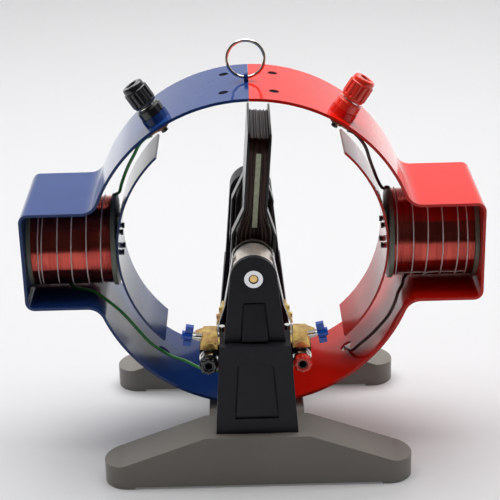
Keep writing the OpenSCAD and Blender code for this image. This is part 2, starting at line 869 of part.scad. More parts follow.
// Bolts through the end walls of the boxes into the cores
module core_bolts() {
  color("silver")
  for (side = [-1, 1]) sided(side) at_axis() {
    along_x(box_in_x - core_bolt_len, box_x, bolt_r);
    along_x(box_x, box_x + core_bolt_head_t, core_bolt_head_r);
  }
}

// ---------------------------------------------------------------- top binding posts

module post_collar(side) {
  on_ring(side * post_angle, post_y) difference() {
    translate([0, 0, boss_top]) union() {
      cylinder(h = collar_h - 0.8, r = collar_r);
      translate([0, 0, collar_h - 0.8]) cylinder(h = 0.8, r = collar_r - 0.7);
    }
    translate([0, 0, boss_top - over]) cylinder(h = collar_h + 2 * over, r = stud_r + fit);
  }
}

module black_post_collar() { color([0.06, 0.06, 0.07]) post_collar(-1); }
module red_post_collar() { color([0.78, 0.09, 0.07]) post_collar(1); }

// Threaded studs with their plug sockets
module post_studs() {
  top = cap_bottom + cap_len - 1;
  color("silver")
  for (side = [-1, 1]) on_ring(side * post_angle, post_y) difference() {
    union() {
      translate([0, 0, stud_bottom]) cylinder(h = collar_top - stud_bottom, r = stud_r);
      translate([0, 0, collar_top]) cylinder(h = post_washer_t, r = post_washer_r);
      translate([0, 0, collar_top]) cylinder(h = top - collar_top, r = thread_post_r);
    }
    translate([0, 0, top - socket_depth]) cylinder(h = socket_depth + over, r = socket_r);
  }
}

// Knurled cap that clamps a bare wire under it
module post_cap(side) {
  on_ring(side * post_angle, post_y) difference() {
    translate([0, 0, cap_bottom]) union() {
      cylinder(h = 1.2, r = cap_r - 0.5);
      translate([0, 0, 1.2]) cylinder(h = cap_len - 4, r = cap_r);
      translate([0, 0, cap_len - 2.8]) cylinder(h = 2, r = cap_r - 0.5);
      translate([0, 0, cap_len - 0.8]) cylinder(h = 0.8, r = cap_r - 1.1);
    }
    translate([0, 0, cap_bottom - over])
      cylinder(h = cap_len + 2 * over, r = thread_post_r + running);
    for (i = [0:11])
      rotate([0, 0, 30 * i]) translate([cap_r + 0.25, 0, cap_bottom + 2])
        cylinder(h = cap_len - 5.4, r = 0.7, $fn = 16);
  }
}

module black_post_cap() { color([0.06, 0.06, 0.07]) post_cap(-1); }
module red_post_cap() { color([0.85, 0.12, 0.10]) post_cap(1); }

module post_nuts() {
  color("goldenrod")
  for (side = [-1, 1]) on_ring(side * post_angle, post_y)
    translate([0, 0, nut_bottom]) difference() {
      cylinder(h = post_nut_t, r = post_nut_r, $fn = 6);
      translate([0, 0, -over]) cylinder(h = post_nut_t + 2 * over, r = stud_r + fit);
    }
}

// Solder lugs under the top nuts, each with a tail for its lead, and the tags behind the
// front posts
module post_lugs() {
  color("peru") for (side = [-1, 1]) on_ring(side * post_angle, post_y)
    translate([0, 0, nut_bottom - lug_t]) difference() {
      union() {
        cylinder(h = lug_t, r = 3.4);
        translate([side > 0 ? 0 : -8, -1.2, 0]) cube([8, 2.4, lug_t]);
      }
      translate([0, 0, -over]) cylinder(h = lug_t + 2 * over, r = stud_r + fit);
    }
  color("silver") for (side = [-1, 1]) on_terminal(side) sided(side)
    translate([0, 0, ear_back - tag_t]) linear_extrude(tag_t) difference() {
      union() {
        circle(2.6);
        translate(tag_end) circle(1.6);
        polygon([[1.4, 0], [-1.4, 0], tag_end + [-1.4, 0], tag_end + [1.4, 0]]);
      }
      circle(terminal_stud_r + fit);
    }
}

// ---------------------------------------------------------------- front binding posts

module terminal_cap(side) {
  on_terminal(side) translate([0, 0, terminal_cap_y]) difference() {
    union() {
      cylinder(h = terminal_neck, r = terminal_neck_r);
      translate([0, 0, terminal_neck])
        cylinder(h = terminal_cap_len - terminal_neck, r = terminal_cap_r);
    }
    translate([0, 0, -over])
      cylinder(h = terminal_cap_len + 2 * over, r = terminal_thread_r + running);
    for (i = [0:7])
      rotate([0, 0, 45 * i]) translate([terminal_cap_r + 0.9, 0, terminal_neck - over])
        cylinder(h = terminal_cap_len, r = 1.5, $fn = 16);
  }
}

module black_terminal_cap() { color([0.06, 0.06, 0.07]) terminal_cap(-1); }
module red_terminal_cap() { color([0.88, 0.12, 0.10]) terminal_cap(1); }

// Studs through the ears, with the plug socket in front and a nut behind
module terminal_studs() {
  top = terminal_cap_y + terminal_cap_len - 0.8;
  color("silver")
  for (side = [-1, 1]) on_terminal(side) difference() {
    union() {
      translate([0, 0, ear_back - 3]) cylinder(h = ear_face + washer_t - ear_back + 3, r = terminal_stud_r);
      translate([0, 0, ear_back - tag_t - rear_nut_t]) cylinder(h = rear_nut_t, r = 3, $fn = 6);
      translate([0, 0, ear_face + washer_t]) cylinder(h = terminal_nut_t, r = terminal_nut_r);
      translate([0, 0, ear_face + washer_t]) cylinder(h = top - ear_face - washer_t, r = terminal_thread_r);
    }
    translate([0, 0, top - terminal_socket_depth])
      cylinder(h = terminal_socket_depth + over, r = socket_r);
  }
}

// Washers in front of the ears
module terminal_washers() {
  color("gainsboro")
  for (side = [-1, 1]) on_terminal(side) difference() {
    translate([0, 0, ear_face]) cylinder(h = washer_t, r = terminal_washer_r);
    translate([0, 0, ear_face - over]) cylinder(h = washer_t + 2 * over, r = terminal_stud_r + fit);
  }
}

// ---------------------------------------------------------------- brush gear

// Arched sheet bracket on its base plate
module brush_bracket(side) {
  floor_z = axis_z - ear_top_drop;
  top_z = bracket_h;
  arch_r = 4.1;
  arch_x = (bracket_in_x + bracket_foot_x) / 2 - 0.6;
  color([0.72, 0.58, 0.30])
  sided(side) translate([0, 0, floor_z]) difference() {
    union() {
      // base plate
      translate([bracket_plate_in, -upright_back_y + 0.1, 0])
        cube([bracket_foot_x - bracket_plate_in, upright_back_y - 0.1 - plate_back, bracket_t]);
      // inner leg, top and leaning outer leg
      slab_y(-bracket_front, -bracket_back) polygon([
        [bracket_in_x, 0], [bracket_in_x, top_z], [bracket_top_x, top_z], [bracket_foot_x, 0],
        [bracket_foot_x - bracket_t, 0], [bracket_top_x - bracket_t, top_z - bracket_t],
        [bracket_in_x + bracket_t, top_z - bracket_t], [bracket_in_x + bracket_t, 0]
      ]);
      // front panel
      slab_y(-bracket_front, -bracket_front + bracket_t)
        polygon([[bracket_in_x, 0], [bracket_in_x, top_z], [bracket_top_x, top_z], [bracket_foot_x, 0]]);
      // small inner arch, which stands a little proud of the panel
      slab_y(-bracket_front - 0.4, -bracket_back - 1) difference() {
        translate([arch_x, 0.4]) circle(arch_r);
        translate([arch_x, 0.4]) circle(arch_r - bracket_t);
        translate([arch_x - 8, -8]) square([16, 8]);
      }
      // pointed lug over the thumb screw
      translate([0, 0, top_z - bracket_t]) linear_extrude(bracket_t)
        polygon([[bracket_top_x - 1, -bracket_front + 1.6], [tip_x, -tip_y - 0.6],
                 [tip_x, -tip_y + 0.6], [bracket_top_x - 1, -bracket_back - 0.6]]);
    }
    thumb_line() cylinder(h = 27, r = thumb_rod_r + running, center = true);
    translate([brush_screw[0], -brush_screw[1], -over]) cylinder(h = 4, r = 1.3);
  }
}

// Axis of a thumb screw, in the frame of the bracket's base plate; Z points outwards
module thumb_line() {
  translate([thumb_mid[0], -thumb_y, thumb_mid[1] + ear_top_drop])
    rotate([0, 90 - thumb_slope, 0]) children();
}

module left_brush_bracket() { brush_bracket(-1); }
module right_brush_bracket() { brush_bracket(1); }

// Pan-headed screw and collar that hold a bracket's plate on its ear
module bracket_screws() {
  color("gainsboro")
  for (side = [-1, 1]) sided(side)
    translate([brush_screw[0], -brush_screw[1], axis_z - ear_top_drop + bracket_t]) {
      cylinder(h = bracket_screw_h, r = bracket_screw_r - 0.8);
      translate([0, 0, bracket_screw_h]) cylinder(h = 0.6, r = bracket_screw_r);
      translate([0, 0, bracket_screw_h + 0.6])
        cylinder(h = bracket_head_h, r = bracket_screw_r - 0.6);
      translate([0, 0, -6]) cylinder(h = 6.5, r = 1.25);
    }
}

// Point where the leaf's face meets the contact circle, and the leaf's path from top to pivot
leaf_touch = [contact_r * cos(leaf_lean), contact_r * sin(leaf_lean)];
function leaf_x(z) = leaf_touch[0] + (leaf_touch[1] - z) * tan(leaf_lean);
leaf_knee = [leaf_x(leaf_knee_z), leaf_knee_z];
leaf_path = [[leaf_x(leaf_end_z), leaf_end_z], leaf_knee, [leaf_pivot[0] - 0.6, leaf_pivot[1] + air]];

// Spring leaf from its root up to the commutator's side
module brush_leaf(side) {
  outer = [for (i = [2:-1:0]) leaf_path[i] + [leaf_t, 0]];
  color("silver")
  sided(side) at_axis() slab_y(-leaf_y - leaf_w / 2, -leaf_y + leaf_w / 2)
    polygon(concat(leaf_path, outer));
}

module left_brush_leaf() { brush_leaf(-1); }
module right_brush_leaf() { brush_leaf(1); }

// Stiff brass plate riveted on the outside of a leaf
module leaf_clamp(side) {
  run = leaf_path[2] - leaf_knee;
  a = leaf_knee + run * 0.02 + [leaf_t + 0.02, 0];
  b = leaf_knee + run * 0.78 + [leaf_t + 0.02, 0];
  color([0.66, 0.55, 0.28])
  sided(side) at_axis() {
    slab_y(-leaf_y - leaf_w / 2 - 0.8, -leaf_y + leaf_w / 2 + 0.8)
      polygon([a, b, b + [1, 0], a + [1, 0]]);
    for (k = [0.3, 0.7])
      translate([a[0] + (b[0] - a[0]) * k, -leaf_y, a[1] + (b[1] - a[1]) * k])
        along_x(0.5, 1.9, 1.4);
  }
}

module left_leaf_clamp() { leaf_clamp(-1); }
module right_leaf_clamp() { leaf_clamp(1); }

// Winged plastic head of a thumb screw: a hub, and a lobe at each end of a thinner web
module thumb_knob(side) {
  lobe = 3.1;
  color([0.05, 0.30, 0.78])
  sided(side) translate([0, 0, axis_z - ear_top_drop]) thumb_line() difference() {
    union() {
      translate([0, 0, -wing_t / 2]) cylinder(h = wing_t + 1.4, r = 2.3);
      translate([-wing_half + 1, -1.2, -wing_t / 2 + 0.4]) cube([2 * wing_half - 2, 2.4, wing_t - 0.8]);
      for (s = [-1, 1])
        translate([s * (wing_half - lobe / 2) - lobe / 2, -1.7, -wing_t / 2]) cube([lobe, 3.4, wing_t]);
    }
    translate([0, 0, -wing_t]) cylinder(h = wing_t + 1, r = thumb_rod_r + fit);
  }
}

module left_thumb_knob() { thumb_knob(-1); }
module right_thumb_knob() { thumb_knob(1); }

// Thin metal rod of a thumb screw
module thumb_rod(side) {
  color("gainsboro")
  sided(side) translate([0, 0, axis_z - ear_top_drop]) thumb_line()
    translate([0, 0, -12.5]) cylinder(h = 13, r = thumb_rod_r);
}

module left_thumb_rod() { thumb_rod(-1); }
module right_thumb_rod() { thumb_rod(1); }

// ---------------------------------------------------------------- leads

// Radii of the ring and the pole shoes that the routes below are drawn for
route_out = 90;
route_ring = 87;
route_shoe = 75.5;

// Moves a route's point so that it keeps its share of the gap between shoe and ring, and
// its distance from the ring's outside beyond that
function in_gap(p) =
  let (r = norm([p[0], p[2]]),
       low = route_shoe + lead_r,
       high = route_ring - lead_r,
       share = (r - low) / (high - low),
       grown = ring_r - route_out,
       to = share < 0 ? r
          : share <= 1 ? shoe_out + lead_r + share * (ring_in - shoe_out - 2 * lead_r)
          : r + (p[2] < -box_half_h ? grown : grown / 2))
  [p[0] * to / r, p[1], p[2] * to / r];

// Routes from the shaft's axis; the upper ones run from a lug to the coil, the lower ones
// from the coil to a tag on the left and through the ring into the spine on the right
tag_y = 1.4 - ear_back;
lead_in_z = -ring_r - lead_in_drop;
left_post_route = [
  [-51.4, -19, 66.2], [-55, -19.2, 64.6], [-58.7, -19.4, 60.8], [-61.3, -19.4, 56.3],
  [-64.5, -17.5, 50.6], [-67.7, -13.5, 43.7], [-70.8, -8, 35.6], [-72.9, -2, 29]
];
right_post_route = [
  [51.4, -19, 66.2], [55, -19.2, 64.4], [58.8, -19.4, 60.2], [61.5, -19.4, 55.8],
  [63.6, -17.5, 50.1], [66.1, -13.5, 43.5], [69.6, -8, 34.2], [72.8, -2, 27.2]
];
left_coil_route = [
  [-95, -13, -24.8], [-91.2, -16, -24.1], [-87, -19.4, -24.4],
  [-80.1, -20.5, -28.4], [-72.8, -20.5, -36.6], [-64.9, -20.5, -47.4], [-59.1, -20.5, -54.8],
  [-53.1, -20.5, -60], [-47, -22, -63.6], [-39.6, -25, -65.6], [-33.4, -30, -66.1],
  [-28.5, tag_y + 1.4, -66.6], [-24.2, tag_y + 0.2, -67.2], [-19.5, tag_y, -66.6]
];
right_coil_route = [
  [81.6, -17, -24.6], [79.3, -20.5, -27.8],
  [77.6, -20.5, -33.4], [74.3, -20.5, -41], [68.7, -20.5, -48.7], [63.7, -20.5, -54.2],
  [58.6, -20.3, -59], [54.4, -17, -64.2], [52.2, -9, -67], [52, -3.4, -68.6],
  [52.3, -0.5, -72], [52.8, 0.4, -76], [49, 0, -81], [42, -1, -87],
  [35, -2, -92]
];
right_lead_in = [[29.5, lead_in_y, lead_in_z], [23, lead_in_y, lead_in_z]];

// Ends of the leads at the coils: over the rim of a former's inner flange, and on the winding
// beyond it
winding_x = bobbin_in_x + bobbin_flange_t;
rim_point = [bobbin_in_x + 0.1, 1, bobbin_r + 0.6];
rim_end = [bobbin_in_x + 0.6 * bobbin_flange_t, 2, bobbin_r - 0.6];
left_coil_end = [
  [-winding_x - 26.5, -4, 0.2 - field_wire_r], [-winding_x - 22.5, -9, -0.8 - field_wire_r]
];
right_coil_end = [
  [winding_x + 8.5, -8, 1.4 - field_wire_r], [winding_x + 6.5, -12, 1 - field_wire_r]
];
// Front-to-back place of the posts that the routes are drawn for
route_post_y = -19;

function fitted(route) = [for (p = route) in_gap(p)];
// A post's lead keeps to the post from front to back, apart from its end at the coil
function post_lead_path(side, route) =
  concat([for (p = fitted(route)) p + [0, post_y - route_post_y, 0]],
         [for (p = [rim_point, rim_end]) [side * p[0], p[1], p[2]]]);
function unit(v) = v / norm(v);
// Point on the smooth curve through four neighbouring route points
function curve_point(a, b, c, d, t) =
  0.5 * ((2 * b) + (c - a) * t + (2 * a - 5 * b + 4 * c - d) * t * t
         + (3 * b - a - 3 * c + d) * t * t * t);
function smooth_route(p, n) = [
  for (i = [0:len(p) - 2], k = [0:n - 1])
    curve_point(p[max(i - 1, 0)], p[i], p[i + 1], p[min(i + 2, len(p) - 1)], k / n),
  p[len(p) - 1]
];

// Tube of radius r with eight sides along the points p
module lead_tube(p, r) {
  sides = 8;
  n = len(p);
  rings = [
    for (i = [0:n - 1])
      let (dir = unit(p[min(i + 1, n - 1)] - p[max(i - 1, 0)]),
           u = unit(cross(dir, [0.3, 1, 0.1])),
           v = cross(dir, u))
        [for (k = [0:sides - 1]) p[i] + r * (cos(360 * k / sides) * u + sin(360 * k / sides) * v)]
  ];
  points = [for (ring = rings) for (q = ring) q];
  walls = [
    for (i = [0:n - 2], k = [0:sides - 1])
      let (a = i * sides + k, b = i * sides + (k + 1) % sides)
        [[a, b, b + sides], [a, b + sides, a + sides]]
  ];
  caps = [[for (k = [sides - 1:-1:0]) k], [for (k = [0:sides - 1]) (n - 1) * sides + k]];
  polyhedron(points = points, faces = concat([for (w = walls) for (f = w) f], caps), convexity = 8);
}

module left_post_lead() {
  color("darkgreen") at_axis()
    lead_tube(smooth_route(post_lead_path(-1, left_post_route), 3), lead_r);
}
module right_post_lead() {
  color([0.35, 0.05, 0.06]) at_axis()
    lead_tube(smooth_route(post_lead_path(1, right_post_route), 3), lead_r);
}
module left_coil_lead() {
  color("green") at_axis()
    lead_tube(smooth_route(concat(left_coil_end, fitted(left_coil_route)), 3), lead_r);
}
module right_coil_lead() {
  color([0.30, 0.05, 0.06]) at_axis()
    lead_tube(smooth_route(concat(right_coil_end, fitted(right_coil_route), right_lead_in), 3),
              lead_r);
}

// ---------------------------------------------------------------- armature

module shaft() {
  end_y = upper_face_y + bearing_flange_t - 0.5;
  color([0.78, 0.62, 0.30]) at_axis() along_y(-end_y, end_y, shaft_r);
}

// Flat rounded rectangle in the YZ plane
module round_slab(hy, hz, r) {
  square([2 * hy, 2 * (hz - r)], center = true);
  square([2 * (hy - r), 2 * hz], center = true);
  for (sy = [-1, 1], sz = [-1, 1])
    translate([sy * (hy - r), sz * (hz - r)]) circle(r, $fn = 48);
}

// Outline of the bend around the shaft: half width w, meeting the half width w_end at its ends
module bulge_outline(w, w_end) {
  polygon([
    [w_end, bulge_top + 0.5], [w_end, bulge_top], [w, bulge_flat], [w, -bulge_flat],
    [w_end, -bulge_top], [w_end, -bulge_top - 0.5], [-w_end, -bulge_top - 0.5],
    [-w_end, -bulge_top], [-w, -bulge_flat], [-w, bulge_flat], [-w_end, bulge_top],
    [-w_end, bulge_top + 0.5]
  ]);
}

module armature_core() {
  color("dimgray")
  on_armature() difference() {
    union() {
      slab_x(-coil_half_t + fit, coil_half_t - fit)
        square([2 * armature_core_y, 2 * armature_core_h], center = true);
      along_y(-coil_half_y - 1, coil_half_y + 1, sleeve_r);
    }
    along_y(-coil_half_y - 2, coil_half_y + 2, shaft_r + 0.02);
  }
}

// Side plates, bent outwards at the front and at the back to pass the shaft
module armature_plates() {
  outer = coil_half_t + plate_t;
  color([0.12, 0.12, 0.13])
  on_armature() {
    for (s = [-1, 1])
      slab_x(s > 0 ? coil_half_t : -outer, s > 0 ? outer : -coil_half_t) difference() {
        round_slab(plate_half_y, plate_half_h, 4);
        for (e = [-1, 1])
          translate([e * (bulge_in + 10), 0]) square([20, 2 * bulge_top], center = true);
      }
    for (e = [-1, 1])
      slab_y(e > 0 ? bulge_in + air : -plate_half_y, e > 0 ? plate_half_y : -bulge_in - air)
        difference() {
          bulge_outline(bulge_half, outer);
          bulge_outline(bulge_half - plate_t, coil_half_t);
          square([2 * coil_half_t, 4 * bulge_top], center = true);
        }
  }
}

module armature_winding() {
  color([0.22, 0.05, 0.05])
  on_armature() difference() {
    union() {
      slab_x(-coil_half_t + fit, coil_half_t - fit) difference() {
        round_slab(coil_half_y, coil_half_h, 6);
        square([2 * (armature_core_y + fit), 2 * (armature_core_h + fit)], center = true);
      }
      for (e = [-1, 1])
        slab_y(e > 0 ? bulge_in + air : -coil_half_y, e > 0 ? coil_half_y : -bulge_in - air)
          bulge_outline(coil_bulge, coil_half_t - fit);
    }
    along_y(-coil_half_y - over, coil_half_y + over, sleeve_r + fit);
  }
}

// Pale strips that keep the winding's ends in place
module winding_strips() {
  color([0.72, 0.74, 0.58])
  on_armature() for (sy = [-1, 1], sz = [-1, 1])
    translate([-strip_w / 2, sy > 0 ? coil_half_y : -coil_half_y - strip_t,
               sz > 0 ? strip_low : -strip_low - strip_len])
      cube([strip_w, strip_t, strip_len]);
}

module commutator_hub() {
  color([0.10, 0.08, 0.07])
  on_armature() difference() {
    along_y(hub_front_y, hub_back_y, hub_r);
    along_y(hub_front_y - over, hub_back_y + over, shaft_r + 0.02);
  }
}

// Two half rings with a slot at each side
module commutator_segments() {
  color([0.66, 0.60, 0.52])
  on_armature() difference() {
    along_y(segment_back_y - segment_len, segment_back_y, commutator_r);
    along_y(hub_front_y - over, hub_back_y + over, hub_r + fit);
    translate([-20, hub_front_y - over, -segment_slot / 2])
      cube([40, segment_len + 4, segment_slot]);
  }
}

module commutator_band() {
  color([0.70, 0.66, 0.60])
  on_armature() difference() {
    along_y(band_ring_y, band_ring_y + band_ring_len, band_ring_r);
    along_y(band_ring_y - over, band_ring_y + band_ring_len + over, hub_r + fit);
  }
}

// Collars on the shaft behind the winding
module shaft_collars() {
  color([0.75, 0.60, 0.30])
  on_armature() difference() {
    union() {
      along_y(coil_half_y + 1.1, coil_half_y + 8, 4.5);
      along_y(upright_back_y - air - 5, upright_back_y - air, 4.5);
    }
    along_y(coil_half_y, upright_back_y, shaft_r + 0.02);
  }
}

front_foot();
rear_foot();
spine();
base_bolts();
front_upright();
rear_upright();
front_bearing();
rear_bearing();
yoke_blue();
yoke_red();
splice_plate();
seam_screws();
ring_eye();
carry_ring();
left_core();
right_core();
left_bobbin();
right_bobbin();
left_field_winding();
right_field_winding();
coil_bindings();
left_pole_shoe();
right_pole_shoe();
pole_screws();
core_bolts();
black_post_collar();
red_post_collar();
black_post_cap();
red_post_cap();
post_studs();
post_nuts();
post_lugs();
black_terminal_cap();
red_terminal_cap();
terminal_studs();
terminal_washers();
left_brush_bracket();
right_brush_bracket();
bracket_screws();
left_brush_leaf();
right_brush_leaf();
left_leaf_clamp();
right_leaf_clamp();
left_thumb_knob();
right_thumb_knob();
left_thumb_rod();
right_thumb_rod();
left_post_lead();
right_post_lead();
left_coil_lead();
right_coil_lead();
shaft();
armature_core();
armature_plates();
armature_winding();
winding_strips();
commutator_hub();
commutator_segments();
commutator_band();
shaft_collars();
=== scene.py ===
"""Looks of a demonstration electric motor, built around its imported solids.

Lengths are in metres in the frame of the solids: X across the face, Y from front to back,
Z up, with the origin on the bench below the middle of the ring.
"""

import json
import logging
import math
from dataclasses import dataclass
from enum import Enum
from typing import Callable, Optional, Sequence

import bmesh
import bpy
import numpy as np
from mathutils import Matrix

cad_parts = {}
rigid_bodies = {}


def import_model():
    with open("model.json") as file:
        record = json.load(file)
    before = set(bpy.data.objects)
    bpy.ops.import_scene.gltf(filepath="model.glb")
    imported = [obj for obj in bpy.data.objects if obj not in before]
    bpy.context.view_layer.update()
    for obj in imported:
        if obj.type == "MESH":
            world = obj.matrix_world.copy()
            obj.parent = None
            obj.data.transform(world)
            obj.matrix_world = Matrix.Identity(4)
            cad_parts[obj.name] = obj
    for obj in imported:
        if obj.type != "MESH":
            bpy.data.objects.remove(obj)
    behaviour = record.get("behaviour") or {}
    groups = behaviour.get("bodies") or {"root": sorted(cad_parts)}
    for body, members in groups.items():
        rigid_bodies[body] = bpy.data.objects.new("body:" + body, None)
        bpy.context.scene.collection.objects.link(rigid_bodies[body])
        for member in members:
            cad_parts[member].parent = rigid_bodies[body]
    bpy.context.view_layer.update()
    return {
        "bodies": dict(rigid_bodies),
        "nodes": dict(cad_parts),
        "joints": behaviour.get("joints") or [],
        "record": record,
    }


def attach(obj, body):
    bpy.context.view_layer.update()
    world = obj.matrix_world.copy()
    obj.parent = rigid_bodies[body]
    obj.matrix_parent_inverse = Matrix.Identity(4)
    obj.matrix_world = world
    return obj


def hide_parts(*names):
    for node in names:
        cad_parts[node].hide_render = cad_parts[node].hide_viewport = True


LOG = logging.getLogger("motor")
MM = 0.001
AXIS_Z = 0.121  # height of the shaft's axis
WELD = 2e-6  # distance within which a solid's loose corners are merged
FLAT_TURN = math.radians(0.8)  # turn below which neighbouring faces become one
CRISP_TURN = math.radians(35)  # turn above which a solid's edge stays crisp
ON_CYLINDER = 0.02 * MM  # how far off a cylinder its corners may lie
FACES_OUT = 0.9  # least cosine between a cylinder face's normal and the radius
START_SIDE = (0.3, 1.0, 0.1)  # a direction that no path starts along
Color = tuple[float, float, float]
Socket = bpy.types.NodeSocket
Value = Socket | float | Sequence[float]


class Side(Enum):
    """The two sides of the motor as the front shows them."""

    LEFT = -1
    RIGHT = 1

    @property
    def word(self) -> str:
        """Returns the side's word as the nodes' names have it."""
        return self.name.lower()

    @property
    def tint(self) -> str:
        """Returns the colour of the side's binding posts."""
        return "black" if self is Side.LEFT else "red"


# ------------------------------------------------------------------ finishes


class Graph:
    """A node tree with short calls for the nodes that the finishes share."""

    def __init__(self, owner: bpy.types.Material | bpy.types.World, main: str) -> None:
        """Turns on the owner's nodes and finds its main one.

        Args:
            owner: the material or world.
            main: the name of its main node.
        """
        owner.use_nodes = True
        self.owner = owner
        self.tree = owner.node_tree
        self.main = self.tree.nodes[main]
        self._coords: Optional[Socket] = None

    def give(self, node: bpy.types.Node, inputs: dict[int | str, Value]) -> None:
        """Links sockets or sets plain values as a node's inputs.

        Args:
            node: the node.
            inputs: a socket or plain value for each input, by its name or number.
        """
        for key, value in inputs.items():
            if isinstance(value, Socket):
                self.tree.links.new(value, node.inputs[key])
            else:
                node.inputs[key].default_value = value

    def shade(self, **inputs: Value) -> None:
        """Gives the main node inputs, whose names have _ for a space."""
        self.give(self.main, {name.replace("_", " "): value for name, value in inputs.items()})

    def add(self, kind: str, inputs: dict[int | str, Value], **settings: object) -> bpy.types.Node:
        """Adds a node.

        Args:
            kind: the node type's name without its ShaderNode prefix.
            inputs: a socket or plain value for each input that needs one.
            settings: properties to set on the node.

        Returns:
            The new node.
        """
        node = self.tree.nodes.new("ShaderNode" + kind)
        for key, setting in settings.items():
            setattr(node, key, setting)
        self.give(node, inputs)
        return node

    def coords(self, stretch: Sequence[float] = (1, 1, 1), shift: Sequence[float] = (0, 0, 0)) -> Socket:
        """Gives Object coordinates in metres, stretched and then shifted along each axis.

        Args:
            stretch: the factor along X, Y and Z.
            shift: the shift along X, Y and Z.

        Returns:
            The vector socket.
        """
        if self._coords is None:
            self._coords = self.add("TexCoord", {}).outputs["Object"]
        if tuple(stretch) == (1, 1, 1) and not any(shift):
            return self._coords
        inputs = {"Vector": self._coords, "Scale": tuple(stretch), "Location": tuple(shift)}
        return self.add("Mapping", inputs).outputs["Vector"]

    def along_y(self) -> Socket:
        """Gives the Object coordinate Y in metres."""
        return self.add("SeparateXYZ", {0: self.coords()}).outputs["Y"]

    def noise(self, vector: Socket, scale: float, detail: float = 3.0, rough: float = 0.5) -> Socket:
        """Adds fractal noise.

        Args:
            vector: where the noise is read.
            scale: features per metre.
            detail: octaves.
            rough: weight of the fine octaves.

        Returns:
            The noise's value socket, from 0 to 1.
        """
        inputs = {"Vector": vector, "Scale": scale, "Detail": detail, "Roughness": rough}
        return self.add("TexNoise", inputs).outputs["Fac"]

    def ramp(self, value: Socket, stops: Sequence[tuple[float, Color]]) -> Socket:
        """Turns a value into a colour.

        Args:
            value: the driving value.
            stops: places and their colours, in order.

        Returns:
            The colour socket.
        """
        node = self.add("ValToRGB", {"Fac": value})
        elements = node.color_ramp.elements
        while len(elements) < len(stops):
            elements.new(1.0)
        for element, (place, color) in zip(elements, stops):
            element.position = place
            element.color = (*color, 1.0)
        return node.outputs["Color"]

    def span(self, value: Socket, low: Socket | float, high: Socket | float, start: float = 0.0,
             end: float = 1.0) -> Socket:
        """Maps a value from start..end on to low..high, and holds it beyond them.

        Args:
            value: the driving value.
            low: the result at the start.
            high: the result at the end.
            start: the value that gives low.
            end: the value that gives high.

        Returns:
            The result's socket.
        """
        inputs = {"Value": value, "From Min": start, "From Max": end, "To Min": low, "To Max": high}
        return self.add("MapRange", inputs).outputs["Result"]

    def combine(self, operation: str, *values: Socket | float) -> Socket:
        """Joins values by a Math node's operation, in the node's order."""
        return self.add("Math", dict(enumerate(values)), operation=operation).outputs[0]

    def mix(self, a: Socket, b: Socket, share: float, blend: str = "MIX") -> Socket:
        """Mixes two colours.

        Args:
            a: the first colour.
            b: the second colour.
            share: the share of the second.
            blend: the Mix node's way of mixing.

        Returns:
            The mixed colour's socket.
        """
        inputs = {"Factor": share, "A": a, "B": b}
        return self.add("Mix", inputs, data_type="RGBA", blend_type=blend).outputs["Result"]


def tone(color: Color, factor: float) -> Color:
    """Returns the colour made lighter or darker by a factor, within 0..1."""
    return tuple(min(1.0, c * factor) for c in color)


@dataclass(frozen=True)
class Finish:
    """A plain moulded, painted or metal finish.

    The colour wanders a little over broad patches, the gloss over smaller ones, and fine
    relief stands for the grain of the surface. Scales are in features per metre.
    """

    name: str
    color: Color
    rough: float = 0.4
    metal: float = 0.0
    coat: float = 0.0
    coat_rough: float = 0.05
    specular: float = 0.5
    patch: float = 0.08
    patch_scale: float = 45.0
    gloss_ratio: float = 3.1
    rough_spread: float = 0.06
    grain: float = 0.0
    grain_scale: float = 1800.0
    grain_depth: float = 0.00012
    stretch: tuple[float, float, float] = (1, 1, 1)

    def tones(self, g: Graph) -> tuple[Socket, Socket]:
        """Adds the nodes of the colour and of the gloss.

        Args:
            g: the material's graph.

        Returns:
            The colour's socket, and a value from 0 to 1 that the roughness follows.
        """
        where = g.coords(self.stretch)
        patches = g.noise(where, self.patch_scale, 4)
        stops = [(0.3, tone(self.color, 1 - self.patch)), (0.7, tone(self.color, 1 + self.patch))]
        return g.ramp(patches, stops), g.noise(where, self.patch_scale * self.gloss_ratio, 5)

    def build(self) -> bpy.types.Material:
        """Builds the material.

        Returns:
            The node material.
        """
        g = Graph(bpy.data.materials.new(self.name), "Principled BSDF")
        color, gloss = self.tones(g)
        rough = g.span(gloss, self.rough - self.rough_spread, self.rough + self.rough_spread)
        g.shade(Base_Color=color, Roughness=rough, Metallic=self.metal, Coat_Weight=self.coat,
                Coat_Roughness=self.coat_rough, Specular_IOR_Level=self.specular)
        if self.grain:
            grain = g.noise(g.coords(self.stretch), self.grain_scale, 2)
            inputs = {"Height": grain, "Strength": self.grain, "Distance": self.grain_depth}
            g.shade(Normal=g.add("Bump", inputs).outputs["Normal"])
        return g.owner


@dataclass(frozen=True)
class WireFinish(Finish):
    """Enamelled wire laid turn beside turn: the tone changes along X in lanes of two turns."""

    pitch: float = 0.8 * MM
    second: Color = (0.05, 0.01, 0.01)
    across: float = 0.02
    broad: float = 0.45
    broad_scale: float = 70.0

    def tones(self, g: Graph) -> tuple[Socket, Socket]:
        """Mixes the lanes with broad patches. The gloss follows the lanes."""
        lanes = g.noise(g.coords((1.0, self.across, self.across)), 0.5 / self.pitch, 3, 0.65)
        fine = g.ramp(lanes, [(0.35, self.second), (0.65, self.color)])
        stops = [(0.3, tone(self.second, 1.2)), (0.7, tone(self.color, 1.15))]
        return g.mix(fine, g.ramp(g.noise(g.coords(), self.broad_scale), stops), self.broad), lanes


